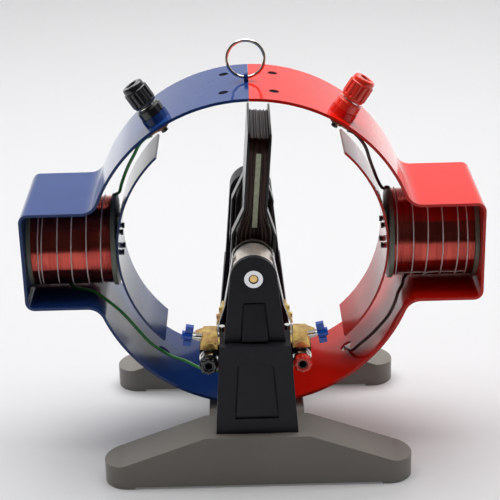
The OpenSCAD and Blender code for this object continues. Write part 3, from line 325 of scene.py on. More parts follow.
@dataclass(frozen=True)
class StainedFinish(Finish):
    """Metal with a second tint in clouds, such as passivated brass or worn copper."""

    second: Color = (0.3, 0.2, 0.1)

    def tones(self, g: Graph) -> tuple[Socket, Socket]:
        """Lays clouds of the second tint, which are duller than the first."""
        clouds = g.noise(g.coords(self.stretch), self.patch_scale, 5, 0.6)
        return g.ramp(clouds, [(0.38, self.second), (0.62, self.color)]), g.span(clouds, 1.0, 0.0)


@dataclass(frozen=True)
class BandedFinish(Finish):
    """Metal turned in place: its tone changes in bands along Y, with fine rings and stains."""

    bands: tuple[tuple[float, Color], ...] = ()
    start_y: float = -0.06
    end_y: float = -0.03
    ring_ratio: float = 12.0
    ring_tone: float = 0.38
    stain_tone: float = 0.3

    def tones(self, g: Graph) -> tuple[Socket, Socket]:
        """Darkens and lightens the bands by rings and stains. The gloss follows the rings."""
        bands = g.ramp(g.span(g.along_y(), 0.0, 1.0, self.start_y, self.end_y), self.bands)
        rings = g.noise(g.coords((0.05, 1, 0.05)), self.patch_scale * self.ring_ratio, 4, 0.7)
        stains = g.noise(g.coords((1, 0.3, 1)), self.patch_scale, 4, 0.6)
        factor = g.combine("MULTIPLY", g.span(rings, 1 - self.ring_tone, 1 + self.ring_tone),
                           g.span(stains, 1 - self.stain_tone, 1 + self.stain_tone))
        return g.mix(bands, factor, 1.0, "MULTIPLY"), rings


@dataclass(frozen=True)
class BoreFinish(Finish):
    """Bright metal painted black round a bore on the shaft's axis, as painted shade in the bore's mouth."""

    edge: float = 2.62 * MM
    fade: float = 0.12 * MM
    # painted shade: near black inside the edge, for the shaded mouth of the bore round the shaft
    stain: Color = (0.012, 0.011, 0.010)

    def tones(self, g: Graph) -> tuple[Socket, Socket]:
        """Changes the tone where the distance from the axis passes the edge."""
        from_axis = g.coords((1, 0, 1), (0, 0, -AXIS_Z))
        reach = g.add("VectorMath", {0: from_axis}, operation="LENGTH").outputs["Value"]
        zone = g.span(reach, 0.0, 1.0, self.edge - self.fade, self.edge + self.fade)
        color = g.ramp(zone, [(0.0, self.stain), (1.0, self.color)])
        return color, g.noise(g.coords(), self.patch_scale, 4)


PAINT = dict(rough=0.13, rough_spread=0.02, specular=0.3, grain=0.25, grain_scale=420.0,
             grain_depth=0.00006, patch=0.06)

FINISHES: dict[str, Finish] = {
    "blue_paint": Finish("navy gloss paint", (0.013, 0.046, 0.200), **PAINT),
    "red_paint": Finish("red gloss paint", (0.72, 0.012, 0.005), **PAINT),
    "foot_grey": Finish("warm grey moulding", (0.205, 0.188, 0.165), rough=0.44, grain=0.35,
                        grain_scale=2600, grain_depth=0.0001, patch=0.05, patch_scale=20),
    "black_plastic": Finish("charcoal moulding", (0.021, 0.021, 0.027), rough=0.42, specular=0.16,
                            grain=0.4, grain_scale=3000, grain_depth=0.0001, patch=0.12),
    "nickel": Finish("bright nickel", (0.80, 0.79, 0.77), rough=0.14, metal=1.0, patch=0.04,
                     patch_scale=300),
    "steel": Finish("bright steel", (0.62, 0.62, 0.62), rough=0.28, metal=1.0, patch=0.06, patch_scale=250,
                    grain=0.2, grain_scale=4000, stretch=(1, 1, 0.1)),
    "dark_steel": Finish("blackened steel", (0.05, 0.05, 0.056), rough=0.26, metal=0.7, patch=0.2,
                         patch_scale=400),
    "brass": Finish("turned brass", (0.72, 0.50, 0.20), rough=0.24, metal=1.0, patch=0.08, patch_scale=250),
    "passivated_brass": StainedFinish("olive gold brass", (0.80, 0.60, 0.17), rough=0.3, metal=0.85,
                                      second=(0.50, 0.27, 0.12), patch_scale=190, rough_spread=0.08),
    "iron": Finish("plain iron", (0.16, 0.16, 0.17), rough=0.5, metal=0.7, patch=0.15, grain=0.3,
                   grain_scale=2000),
    "former_grey": Finish("grey green former", (0.200, 0.212, 0.172), rough=0.42, grain=0.3,
                          grain_scale=2500, patch=0.1),
    "enamel_wire": WireFinish("enamelled wire", (0.50, 0.085, 0.062), rough=0.13, metal=0.92,
                              rough_spread=0.03, second=(0.25, 0.030, 0.027)),
    "thread": Finish("waxed thread", (0.95, 0.86, 0.87), rough=0.4, specular=0.8, grain=0.4,
                     grain_scale=2500, grain_depth=0.0002),
    "black_gloss": Finish("black gloss cap", (0.010, 0.010, 0.012), rough=0.2, coat=0.3, patch=0.1),
    "red_gloss": Finish("red gloss cap", (0.90, 0.032, 0.012), rough=0.25, coat=0.3, patch=0.05),
    "knob_blue": Finish("blue moulded knob", (0.006, 0.105, 0.62), rough=0.3, coat=0.1, patch=0.08,
                        patch_scale=150),
    "green_wire": Finish("green insulation", (0.024, 0.27, 0.045), rough=0.3, coat=0.1, patch=0.12,
                         patch_scale=120),
    "dark_red_wire": Finish("dark red insulation", (0.060, 0.005, 0.006), rough=0.32, coat=0.1,
                            patch=0.15, patch_scale=120),
    "plate_black": Finish("black side plate", (0.012, 0.011, 0.012), rough=0.3, patch=0.2,
                          patch_scale=60, grain=0.2, grain_scale=900),
    # Painted shade: the armature's wires are a darker copy of the enamelled wire, for the shade they lie in
    # inside the ring.
    "shaded_rotor_wire": WireFinish("rotor wire", (0.070, 0.022, 0.015), rough=0.34, metal=0.35, pitch=0.6 * MM,
                             second=(0.016, 0.010, 0.007)),
    # Painted shade: the winding's body under the wires is near black, for the shade between and under them.
    "rotor_shade": Finish("varnished winding", (0.014, 0.006, 0.005), rough=0.5, specular=0.2,
                          grain=0.4, grain_scale=1500),
    # Painted shade: the screw heads are near black and barely reflect, for the shade in their countersunk
    # recesses.
    "screws_in_shade": Finish("black screw", (0.004, 0.005, 0.012), rough=0.8, specular=0.05),
    "copper": StainedFinish("browned copper", (0.50, 0.26, 0.17), rough=0.34, metal=0.9,
                            second=(0.16, 0.065, 0.040), patch_scale=350, rough_spread=0.08),
    "strip_green": Finish("varnished strip", (0.56, 0.60, 0.42), rough=0.4, patch=0.16, patch_scale=420),
    "hub_brown": Finish("brown laminate", (0.045, 0.026, 0.018), rough=0.45, patch=0.2, patch_scale=300),
    # Painted shade: the last, near-black band stands for the shade in the gap at the segments' back end.
    # The bands before it get darker towards the back.
    "segment_metal": BandedFinish("worn segment", (0.7, 0.6, 0.5), rough=0.3, metal=0.6, patch_scale=110,
                                  rough_spread=0.08, start_y=-0.0566, end_y=-0.0370, bands=(
                                      (0.0, (0.80, 0.73, 0.64)), (0.60, (0.78, 0.70, 0.61)),
                                      (0.95, (0.72, 0.66, 0.60)), (0.975, (0.05, 0.04, 0.035)))),
    "bearing_nickel": BoreFinish("bearing metal", (0.68, 0.69, 0.71), rough=0.2, metal=1.0,
                                 patch_scale=200),
    "ring_wire": Finish("carrying ring wire", (0.68, 0.61, 0.52), rough=0.1, metal=1.0, patch=0.05),
    "band_metal": Finish("thin band", (0.60, 0.57, 0.54), rough=0.24, metal=0.9, patch=0.15,
                         patch_scale=200),
}


class Paintbox:
    """Keeps one material for each finish, made when it is first asked for."""

    def __init__(self) -> None:
        """Starts with no material made."""
        self._made: dict[str, bpy.types.Material] = {}

    def get(self, finish: str) -> bpy.types.Material:
        """Returns the finish's material, building it the first time."""
        if finish not in self._made:
            self._made[finish] = FINISHES[finish].build()
        return self._made[finish]


# ------------------------------------------------------------------ surfaces


def stand(name: str, data: bpy.types.ID) -> bpy.types.Object:
    """Makes an object at the origin and links it to the scene.

    Args:
        name: the object's name.
        data: its mesh, camera or light.

    Returns:
        The object.
    """
    obj = bpy.data.objects.new(name, data)
    bpy.context.scene.collection.objects.link(obj)
    return obj


def mesh_object(name: str, points: np.ndarray, faces: Sequence[Sequence[int]],
                sharp: float = 40.0) -> bpy.types.Object:
    """Makes an object at the origin from points and faces, with its faces turned outwards.

    Args:
        name: the object's name.
        points: array of n places.
        faces: vertex numbers of each face.
        sharp: angle in degrees above which an edge stays crisp.

    Returns:
        The linked object.
    """
    mesh = bpy.data.meshes.new(name)
    mesh.from_pydata(np.asarray(points, float).tolist(), [], [list(f) for f in faces])
    work = bmesh.new()
    work.from_mesh(mesh)
    bmesh.ops.recalc_face_normals(work, faces=work.faces)
    work.to_mesh(mesh)
    work.free()
    mesh.polygons.foreach_set("use_smooth", np.ones(len(mesh.polygons), bool))
    mesh.set_sharp_from_angle(angle=math.radians(sharp))
    return stand(name, mesh)


def grid_faces(rows: int, cols: int, wrap_rows: bool, wrap_cols: bool) -> np.ndarray:
    """Gives the quads of a grid of points.

    Args:
        rows: number of rows.
        cols: number of columns.
        wrap_rows: whether the last row joins the first.
        wrap_cols: whether the last column joins the first.

    Returns:
        Array of quads.
    """
    r = np.arange(rows if wrap_rows else rows - 1)
    c = np.arange(cols if wrap_cols else cols - 1)
    i, j = np.meshgrid(r, c, indexing="ij")
    i2, j2 = (i + 1) % rows, (j + 1) % cols
    quads = np.stack([i * cols + j, i2 * cols + j, i2 * cols + j2, i * cols + j2], -1)
    return quads.reshape(-1, 4)


def round_faces(rows: int, sides: int, closed: bool) -> list[list[int]]:
    """Gives the faces of a row of rings of points.

    Args:
        rows: number of rings.
        sides: points in a ring.
        closed: whether the last ring joins the first. Otherwise a flat disc closes each end.

    Returns:
        The vertex numbers of each face.
    """
    faces = grid_faces(rows, sides, closed, True).tolist()
    if not closed:
        faces += [list(range(sides)), list(range((rows - 1) * sides, rows * sides))]
    return faces


def lathe(name: str, profile: np.ndarray, place: Matrix, sides: int = 64,
          ripple: Optional[Callable[[np.ndarray, np.ndarray], np.ndarray]] = None,
          sharp: float = 40.0, closed: bool = False) -> bpy.types.Object:
    """Turns a profile about the local Z axis.

    A point at height z and radius r goes to (r cos a, r sin a, z) for a full turn of a. The
    ripple adds to r as a function of height and angle. An open profile is closed by a flat
    disc at each end, and a closed one goes right round, as for a ring or sleeve.

    Args:
        name: the object's name.
        profile: array of (z, r) rows.
        place: matrix from the local frame to the motor's frame.
        sides: steps of a full turn.
        ripple: change of radius from height and angle.
        sharp: angle in degrees above which an edge stays crisp.
        closed: whether the profile's last row joins its first.

    Returns:
        The object.
    """
    profile = np.asarray(profile, float)
    angle = np.linspace(0, 2 * math.pi, sides, endpoint=False)
    z = np.repeat(profile[:, :1], sides, 1)
    r = np.repeat(profile[:, 1:], sides, 1)
    if ripple is not None:
        r = r + ripple(z, np.broadcast_to(angle, z.shape))
    points = np.stack([r * np.cos(angle), r * np.sin(angle), z], -1).reshape(-1, 3)
    return mesh_object(name, to_frame(points, place), round_faces(len(profile), sides, closed), sharp)


@dataclass(frozen=True)
class RingShape:
    """Sizes of a flat ring with bevelled rims, which is a nut where it has six sides."""

    low: float
    high: float
    outer: float
    bore: float
    rise: float
    cut_low: float
    cut_high: float


def ring_piece(name: str, s: RingShape, place: Matrix, sides: int, sharp: float) -> bpy.types.Object:
    """Turns a washer or nut about the local Z axis.

    Args:
        name: the object's name.
        s: its sizes.
        place: matrix from the local frame to the motor's frame.
        sides: steps of a full turn.
        sharp: angle in degrees above which an edge stays crisp.

    Returns:
        The object.
    """
    rows = [(s.low, s.bore), (s.low, s.outer - s.cut_low), (s.low + s.rise, s.outer),
            (s.high - s.rise, s.outer), (s.high, s.outer - s.cut_high), (s.high, s.bore)]
    return lathe(name, np.array(rows), place, sides, sharp=sharp, closed=True)


def to_frame(points: np.ndarray, place: Matrix) -> np.ndarray:
    """Returns the points after the matrix, as an array of the same rows."""
    m = np.array(place)
    return points @ m[:3, :3].T + m[:3, 3]


def smooth_path(route: np.ndarray, steps: int) -> np.ndarray:
    """Runs a smooth curve through given points.

    Between two points it is the cubic whose slope at each point is half the chord between
    that point's neighbours.

    Args:
        route: the chosen points.
        steps: pieces of curve between two of them.

    Returns:
        The curve's points.
    """
    p = np.vstack([route[:1], route, route[-1:]])
    t = np.linspace(0, 1, steps, endpoint=False)[:, None]
    runs = [0.5 * (2 * b + (c - a) * t + (2 * a - 5 * b + 4 * c - d) * t**2
                   + (3 * b - a - 3 * c + d) * t**3)
            for a, b, c, d in zip(p[:-3], p[1:-2], p[2:-1], p[3:])]
    return np.vstack(runs + [route[-1:]])


def swept_rings(path: np.ndarray, radius: np.ndarray, sides: int, closed: bool) -> np.ndarray:
    """Carries a circle along a path without twisting it.

    Each ring stands across the path's direction. Its first axis is the last ring's first
    axis with the part along the new direction taken out.

    Args:
        path: the points.
        radius: the circle's radius at each point.
        sides: points in a ring.
        closed: whether the path joins up.

    Returns:
        Array of rings of points.
    """
    ahead = np.roll(path, -1, 0) - np.roll(path, 1, 0) if closed else np.gradient(path, axis=0)
    ahead /= np.linalg.norm(ahead, axis=1)[:, None]
    side = np.cross(ahead[0], START_SIDE)
    rings = []
    angle = np.linspace(0, 2 * math.pi, sides, endpoint=False)[:, None]
    for point, direction, r in zip(path, ahead, radius):
        side = side - direction * np.dot(side, direction)
        side = side / np.linalg.norm(side)
        up = np.cross(direction, side)
        rings.append(point + r * (np.cos(angle) * side + np.sin(angle) * up))
    return np.array(rings)


def tube(name: str, path: np.ndarray, radius: float | np.ndarray, sides: int = 16,
         closed: bool = False) -> bpy.types.Object:
    """Makes a round tube along a path, with flat ends unless it joins up.

    Args:
        name: the object's name.
        path: the points of its middle.
        radius: one radius, or one for each point.
        sides: points in a ring.
        closed: whether the path joins up.

    Returns:
        The object.
    """
    path = np.asarray(path, float)
    radii = np.broadcast_to(np.asarray(radius, float), (len(path),))
    rings = swept_rings(path, radii, sides, closed)
    return mesh_object(name, rings.reshape(-1, 3), round_faces(len(path), sides, closed), sharp=60.0)


def joined(name: str, parts: Sequence[bpy.types.Object]) -> bpy.types.Object:
    """Makes one object of several meshes and removes the parts.

    Args:
        name: the new object's name.
        parts: the objects, all at the origin.

    Returns:
        The joined object.
    """
    work = bmesh.new()
    for part in parts:
        work.from_mesh(part.data)
    mesh = bpy.data.meshes.new(name)
    work.to_mesh(mesh)
    work.free()
    for part in parts:
        old = part.data
        bpy.data.objects.remove(part)
        bpy.data.meshes.remove(old)
    return stand(name, mesh)


def softened(name: str, node: bpy.types.Object, width: float, segments: int = 3,
             angle: float = 30.0, seam: float = 0.0) -> bpy.types.Object:
    """Copies a solid and rounds its edges.

    The copy's loose triangles are merged and its flat faces made whole, so a live Bevel can
    run a clean round along every edge that turns by more than the angle, apart from those in
    the plane of a seam at X = 0.

    Args:
        name: the copy's name.
        node: the solid's object.
        width: radius of the round in metres.
        segments: steps across the round.
        angle: least turn in degrees that is rounded.
        seam: half width of the seam whose edges stay crisp.

    Returns:
        The copy with its modifier.
    """
    mesh = node.data.copy()
    mesh.name = name
    mesh.materials.clear()
    work = bmesh.new()
    work.from_mesh(mesh)
    bmesh.ops.remove_doubles(work, verts=work.verts, dist=WELD)
    bmesh.ops.dissolve_limit(work, angle_limit=FLAT_TURN, verts=work.verts, edges=work.edges)
    bmesh.ops.recalc_face_normals(work, faces=work.faces)
    weight = work.edges.layers.float.new("bevel_weight_edge")
    for edge in work.edges:
        turned = len(edge.link_faces) == 2 and edge.calc_face_angle() > math.radians(angle)
        at_seam = all(abs(v.co.x) < seam for v in edge.verts)
        edge[weight] = 1.0 if turned and not at_seam else 0.0
    work.to_mesh(mesh)
    work.free()
    mesh.polygons.foreach_set("use_smooth", np.ones(len(mesh.polygons), bool))
    mesh.set_sharp_from_angle(angle=CRISP_TURN)
    obj = stand(name, mesh)
    bevel = obj.modifiers.new("edges", "BEVEL")
    bevel.width = width
    bevel.segments = segments
    bevel.limit_method = "WEIGHT"
    bevel.use_clamp_overlap = True
    bevel.harden_normals = True
    return obj


def round_normals(obj: bpy.types.Object, radii: Sequence[float]) -> bpy.types.Object:
    """Makes the cylinder faces of a rounded copy shade as one true cylinder about the shaft's axis.

    The live rounding is made fast. On each face whose corners all lie at one of the radii, a
    corner's normal becomes the unit vector from the axis through the corner, inwards or
    outwards as the face looks. The other corners keep theirs.

    Args:
        obj: the copy with its modifier.
        radii: the cylinders' radii in metres.

    Returns:
        The copy with a plain mesh.
    """
    graph = bpy.context.evaluated_depsgraph_get()
    mesh = bpy.data.meshes.new_from_object(obj.evaluated_get(graph), preserve_all_data_layers=True,
                                           depsgraph=graph)
    obj.modifiers.clear()
    old, obj.data = obj.data, mesh
    name = old.name
    bpy.data.meshes.remove(old)
    mesh.name = name
    place = np.empty(len(mesh.vertices) * 3)
    mesh.vertices.foreach_get("co", place)
    place = place.reshape(-1, 3)
    out = (place - [0, 0, AXIS_Z]) * [1, 0, 1]
    reach = np.linalg.norm(out, axis=1)
    out /= reach[:, None]
    at = np.min(np.abs(reach[:, None] - np.array(radii)), axis=1) < ON_CYLINDER
    normals = np.array([tuple(c.vector) for c in mesh.corner_normals])
    for face in mesh.polygons:
        corners = list(face.vertices)
        side = float(np.dot(out[corners[0]], face.normal))
        if at[corners].all() and abs(side) > FACES_OUT:
            for loop, corner in zip(face.loop_indices, corners):
                normals[loop] = out[corner] * math.copysign(1.0, side)
    mesh.normals_split_custom_set(normals.tolist())
    return obj


def about_y(angle: float) -> Matrix:
    """Returns the turn about the shaft's axis that takes the top of the ring to the angle."""
    return Matrix.Translation((0, 0, AXIS_Z)) @ Matrix.Rotation(angle, 4, "Y")


# ------------------------------------------------------------------ the motor


class SubAssembly:
    """A group of pieces that are built and dressed together."""

    def __init__(self, frame: dict, paints: Paintbox) -> None:
        """Keeps what every group needs.

        Args:
            frame: the loaded solids.
            paints: the materials.
        """
        self.nodes: dict[str, bpy.types.Object] = frame["nodes"]
        self.paints = paints

    def dress(self, finish: str, *nodes: str) -> None:
        """Gives carried-over solids a finish.

        Args:
            finish: the finish.
            nodes: the nodes' names.
        """
        for name in nodes:
            node = self.nodes[name]
            node.data.materials.clear()
            node.data.materials.append(self.paints.get(finish))
            LOG.info("dressed %s", name)

    def paint(self, finish: str, piece: str) -> None:
        """Gives one built piece another finish than its slot's.

        Args:
            finish: the finish.
            piece: the piece's name.
        """
        bpy.data.objects[piece].data.materials[0] = self.paints.get(finish)

    def fit(self, piece: bpy.types.Object, body: str, slot: str, *replaced: str) -> bpy.types.Object:
        """Finishes a new piece and lets it ride on its body.

        Args:
            piece: the piece.
            body: the body that it rides on.
            slot: the finish's slot.
            replaced: nodes that it stands for.

        Returns:
            The piece.
        """
        piece.data.materials.clear()
        piece.data.materials.append(self.paints.get(slot))
        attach(piece, body)
        if replaced:
            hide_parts(*replaced)
        LOG.info("built %s", piece.name)
        return piece

    def soften(self, node: str, body: str, slot: str, width: float, segments: int = 3,
               angle: float = 30.0, seam: float = 0.0) -> bpy.types.Object:
        """Replaces a solid by its copy with rounded edges.

        Args:
            node: the solid's name.
            body: its body.
            slot: the finish's slot.
            width: radius of the round in metres.
            segments: steps across the round.
            angle: least turn in degrees that is rounded.
            seam: half width of the seam whose edges stay crisp.

        Returns:
            The copy.
        """
        piece = softened("shown_" + node, self.nodes[node], width, segments, angle, seam)
        return self.fit(piece, body, slot, node)


class Base(SubAssembly):
    """Feet, spine and bolts."""

    foot_edge: float = 1.1 * MM
    foot_turn: float = 12.0
    spine_edge: float = 0.5 * MM

    def build(self) -> None:
        """Rounds the mouldings' edges and dresses the bolts."""
        for node in ("front_foot", "rear_foot"):
            self.soften(node, "frame", "foot_grey", self.foot_edge, segments=4, angle=self.foot_turn)
        self.soften("spine", "frame", "foot_grey", self.spine_edge)
        self.dress("dark_steel", "base_bolts")


class Uprights(SubAssembly):
    """Black uprights and their bearings."""

    edge: float = 0.4 * MM

    def build(self) -> None:
        """Rounds the mouldings' edges and dresses the bearings."""
        for node in ("front_upright", "rear_upright"):
            self.soften(node, "frame", "black_plastic", self.edge, segments=2)
        self.dress("bearing_nickel", "front_bearing", "rear_bearing")


class Yoke(SubAssembly):
    """Painted ring halves, pole shoes, eye and carrying ring."""

    ring_radii: tuple[float, float] = (90 * MM, 88.4 * MM)
    ring_edge: float = 0.45 * MM
    seam: float = 0.3 * MM
    shoe_radii: tuple[float, float] = (75 * MM, 73.7 * MM)
    shoe_edge: float = 0.3 * MM
    eye_edge: float = 0.25 * MM

    def build(self) -> None:
        """Rounds the strip's edges and dresses the rest."""
        for half, paint in (("yoke_blue", "blue_paint"), ("yoke_red", "red_paint")):
            piece = self.soften(half, "frame", paint, self.ring_edge, seam=self.seam)
            round_normals(piece, self.ring_radii)
        for shoe, paint in (("left_pole_shoe", "blue_paint"), ("right_pole_shoe", "red_paint")):
            piece = self.soften(shoe, "frame", paint, self.shoe_edge, segments=2)
            round_normals(piece, self.shoe_radii)
        self.soften("ring_eye", "frame", "blue_paint", self.eye_edge, segments=2)
        self.dress("dark_steel", "splice_plate")
        # painted shade on the seam screws' heads
        self.dress("screws_in_shade", "seam_screws")
        self.dress("dark_steel", "pole_screws")
        self.dress("nickel", "core_bolts")
        self.dress("ring_wire", "carry_ring")
        self.dress("iron", "left_core", "right_core")


@dataclass(frozen=True)
class CoilShape:
    """Sizes of a field coil's winding and of the threads that tie it."""

    start: float = 77.55 * MM
    end: float = 121.45 * MM
    inner: float = 13.65 * MM
    outer: float = 24.6 * MM
    pitch: float = 0.8 * MM
    pitch_steps: int = 6
    groove: float = 0.16 * MM
    thread: float = 0.30 * MM
    thread_steps: int = 72
    seat: float = 0.55
    lean: float = 0.5 * MM
    lean_step: float = 2.1
    slack: float = 0.05 * MM
    tie_angle: float = math.radians(-45)
    tie_start: float = 0.035
    tie_end: float = 0.915
    tie_steps: int = 56
    tie_seat: float = 0.9
    tie_sway: float = 0.010
    tie_waves: float = 19.0
    knot: float = 0.012
    knot_rise: float = 1.5
    former_edge: float = 0.3 * MM

    def height(self, share: float | np.ndarray) -> float | np.ndarray:
        """Returns the height along the coil's axis at a share of its length."""
        return self.start + share * (self.end - self.start)


class FieldCoils(SubAssembly):
    """Windings, threads and formers on both sides."""

    shape = CoilShape()
    slant: dict[Side, float] = {Side.LEFT: 0.9 * MM, Side.RIGHT: 0.2 * MM}
    turns: dict[Side, tuple[float, ...]] = {
        Side.LEFT: (0.118, 0.311, 0.498, 0.682, 0.864, 0.914),
        Side.RIGHT: (0.043, 0.234, 0.415, 0.590, 0.789, 0.903),
    }

    def place(self, side: Side) -> Matrix:
        """Returns the frame whose Z runs outwards along the coil's axis."""
        return Matrix.Translation((0, 0, AXIS_Z)) @ Matrix.Rotation(side.value * math.pi / 2, 4, "Y")

    def winding(self, side: Side) -> bpy.types.Object:
        """Makes a winding whose outside follows its turns.

        The radius at height z is the outer radius less the groove's depth times a power of one
        minus the absolute sine of pi z over the pitch, so each turn stands up as half a wire.

        Args:
            side: the coil's side.

        Returns:
            The winding.
        """
        s = self.shape
        turns = int(round((s.end - s.start) / s.pitch))
        z = np.linspace(s.start, s.end, turns * s.pitch_steps + 1)
        r = s.outer - s.groove * (1 - np.abs(np.sin(math.pi * (z - s.start) / s.pitch))) ** 1.5
        rim = np.column_stack([z, r])
        profile = np.vstack([[s.start, s.inner], rim, [s.end, s.inner]])
        return lathe(f"{side.word}_coil_turns", profile, self.place(side), sides=96, sharp=60,
                     closed=True)

    def threads(self, side: Side) -> bpy.types.Object:
        """Ties the threads round a winding.

        Each thread's height sways once round the coil by an amount of its own and slants from
        top to bottom by the side's slant, and its radius swells three times round. Seats are
        in thread radii over the winding.

        Args:
            side: the coil's side.

        Returns:
            The threads as one piece.
        """
        s = self.shape
        angle = np.linspace(0, 2 * math.pi, s.thread_steps, endpoint=False)
        parts = []
        for k, share in enumerate(self.turns[side]):
            lean = s.lean * math.sin(s.lean_step * k + side.value)
            z = s.height(share) + lean * np.sin(angle + k) - self.slant[side] * np.cos(angle)
            z = np.clip(z, s.start + s.thread, s.end - s.thread)
            r = s.outer + s.seat * s.thread + s.slack * np.sin(3 * angle + k)
            path = np.column_stack([r * np.cos(angle), r * np.sin(angle), z])
            parts.append(tube(f"thread_{k}", to_frame(path, self.place(side)), s.thread, 8, closed=True))
        if side is Side.RIGHT:
            parts.append(self.tie(side))
        return joined(f"{side.word}_coil_threads", parts)

    def tie(self, side: Side) -> bpy.types.Object:
        """Runs a thread along the coil that is knotted over each turn.

        It lies at a fixed angle below the front, swaying a little, and its height over the
        winding rises in a bell curve by a knot's height at each turn.

        Args:
            side: the coil's side.

        Returns:
            The thread.
        """
        s = self.shape
        share = np.linspace(s.tie_start, s.tie_end, s.tie_steps)
        near = np.min(np.abs(share[:, None] - np.array(self.turns[side])), axis=1)
        r = s.outer + s.thread * (s.tie_seat + s.knot_rise * np.exp(-(near / s.knot) ** 2))
        angle = s.tie_angle + s.tie_sway * np.sin(share * s.tie_waves)
        path = np.column_stack([r * np.cos(angle), r * np.sin(angle), s.height(share)])
        return tube("thread_tie", to_frame(path, self.place(side)), s.thread * 0.9, 8)

    def build(self) -> None:
        """Builds both coils."""
        for side in Side:
            self.fit(self.winding(side), "frame", "enamel_wire", f"{side.word}_field_winding")
            self.soften(f"{side.word}_bobbin", "frame", "former_grey", self.shape.former_edge, segments=2)
        threads = joined("coil_threads", [self.threads(side) for side in Side])
        self.fit(threads, "frame", "thread", "coil_bindings")


@dataclass(frozen=True)
class PostShape:
    """Sizes of a top binding post, with heights from the shaft's axis."""

    angle: float = math.radians(32.9)
    y: float = -19 * MM
    bottom: float = 100.3 * MM
    length: float = 13.2 * MM
    outer: float = 6.75 * MM
    bore: float = 2.96 * MM
    groove: float = 0.75 * MM
    stud_end: float = 82.35 * MM
    stud_r: float = 1.9 * MM
    head: float = 0.9 * MM
    head_r: float = 2.9 * MM
    socket_r: float = 2.02 * MM
    socket_depth: float = 12 * MM
    collar_edge: float = 0.3 * MM


class TopPosts(SubAssembly):
    """The two posts on the ring."""

    shape = PostShape()
    washer = RingShape(PostShape.bottom - PostShape.head, PostShape.bottom - 0.1 * MM, 5.6 * MM,
                       PostShape.head_r, 0.25 * MM, 0.25 * MM, 0.25 * MM)
    nut = RingShape(85.35 * MM, 88.15 * MM, 4 * MM, 1.95 * MM, 0.35 * MM, 0.5 * MM, 0.5 * MM)

    def place(self, side: Side) -> Matrix:
        """Returns the frame whose Z runs outwards along the post."""
        return about_y(side.value * self.shape.angle) @ Matrix.Translation((0, self.shape.y, 0))

    def cap(self, side: Side) -> bpy.types.Object:
        """Turns a cap with a stepped lip and rounded grip ribs.

        The grip's radius falls between the ribs by a depth times the sixth power of the
        cosine of six times the angle, and only within the grip's height.

        Args:
            side: the post's side.

        Returns:
            The cap.
        """
        s = self.shape
        a, b, l = s.bore / MM, s.outer / MM, s.length / MM
        rows = [(0, a), (0, b - 0.9), (0.25, b - 0.55), (1.1, b - 0.5), (1.5, b - 0.1), (1.8, b)]
        rows += [(z, b) for z in np.linspace(2.1, l - 3.7, 10)]
        rows += [(l - 3.4, b), (l - 3.1, b - 0.15), (l - 2.9, b - 0.7), (l - 1.3, b - 0.75),
                 (l - 0.6, b - 0.95), (l - 0.15, b - 1.4), (l, b - 1.9), (l, a + 0.25), (l - 0.2, a)]
        profile = np.array(rows) * MM + [[s.bottom, 0.0]]
        low, high = s.bottom + 1.9 * MM, s.bottom + s.length - 3.5 * MM

        def grooves(z: np.ndarray, angle: np.ndarray) -> np.ndarray:
            """Returns the grooves' depth, negative inwards."""
            inside = (z > low) & (z < high)
            return np.where(inside, -s.groove * np.abs(np.cos(6 * angle)) ** 6, 0.0)

        return lathe(f"shown_{side.word}_post_cap", profile, self.place(side), sides=144,
                     ripple=grooves, sharp=50, closed=True)

    def stud(self, side: Side) -> bpy.types.Object:
        """Turns a stud with its plug socket and the thread that shows above the cap.

        Args:
            side: the post's side.

        Returns:
            The stud.
        """
        s = self.shape
        tip, floor = s.bottom + s.length - 1 * MM, s.bottom + s.length - s.socket_depth
        rows = [(s.stud_end, s.stud_r - 0.4 * MM), (s.stud_end + 0.25 * MM, s.stud_r),
                (s.bottom - s.head, s.stud_r), (s.bottom - s.head, s.head_r),
                (tip - 0.3 * MM, s.head_r), (tip, s.head_r - 0.3 * MM), (tip, s.head_r - 0.6 * MM),
                (tip - 0.3 * MM, s.socket_r), (floor, s.socket_r)]
        return lathe(f"{side.word}_post_stud", np.array(rows), self.place(side), sides=48)

    def build(self) -> None:
        """Builds both posts."""
        for side in Side:
            cap = f"{side.tint}_post_cap"
            self.fit(self.cap(side), cap, f"{side.tint}_gloss", cap)
            self.soften(f"{side.tint}_post_collar", "frame", f"{side.tint}_gloss",
                        self.shape.collar_edge, segments=2)
        for side in Side:
            place = self.place(side)
            self.fit(self.stud(side), "frame", "dark_steel", "post_studs")
            washer = ring_piece(f"{side.word}_post_washer", self.washer, place, sides=64, sharp=40)
            self.fit(washer, "frame", "nickel", "post_studs")
            nut = ring_piece(f"{side.tint}_post_nut", self.nut, place, sides=6, sharp=25)
            self.fit(nut, "frame", "brass", "post_nuts")
        self.paint("copper", "black_post_nut")
        self.paint("dark_steel", "red_post_nut")
        self.dress("copper", "post_lugs")


@dataclass(frozen=True)
class TerminalShape:
    """Sizes of a front binding post, with lengths along it to the front."""

    x: float = 25.4 * MM
    z: float = AXIS_Z - 52 * MM
    start: float = 49.3 * MM
    length: float = 9.6 * MM
    nut_end: float = 3.3 * MM
    neck: float = 5.2 * MM
    neck_r: float = 3.6 * MM
    grip_r: float = 5.1 * MM
    lobe: float = 0.62 * MM
    bore: float = 2.56 * MM
    washer_edge: float = 0.3 * MM


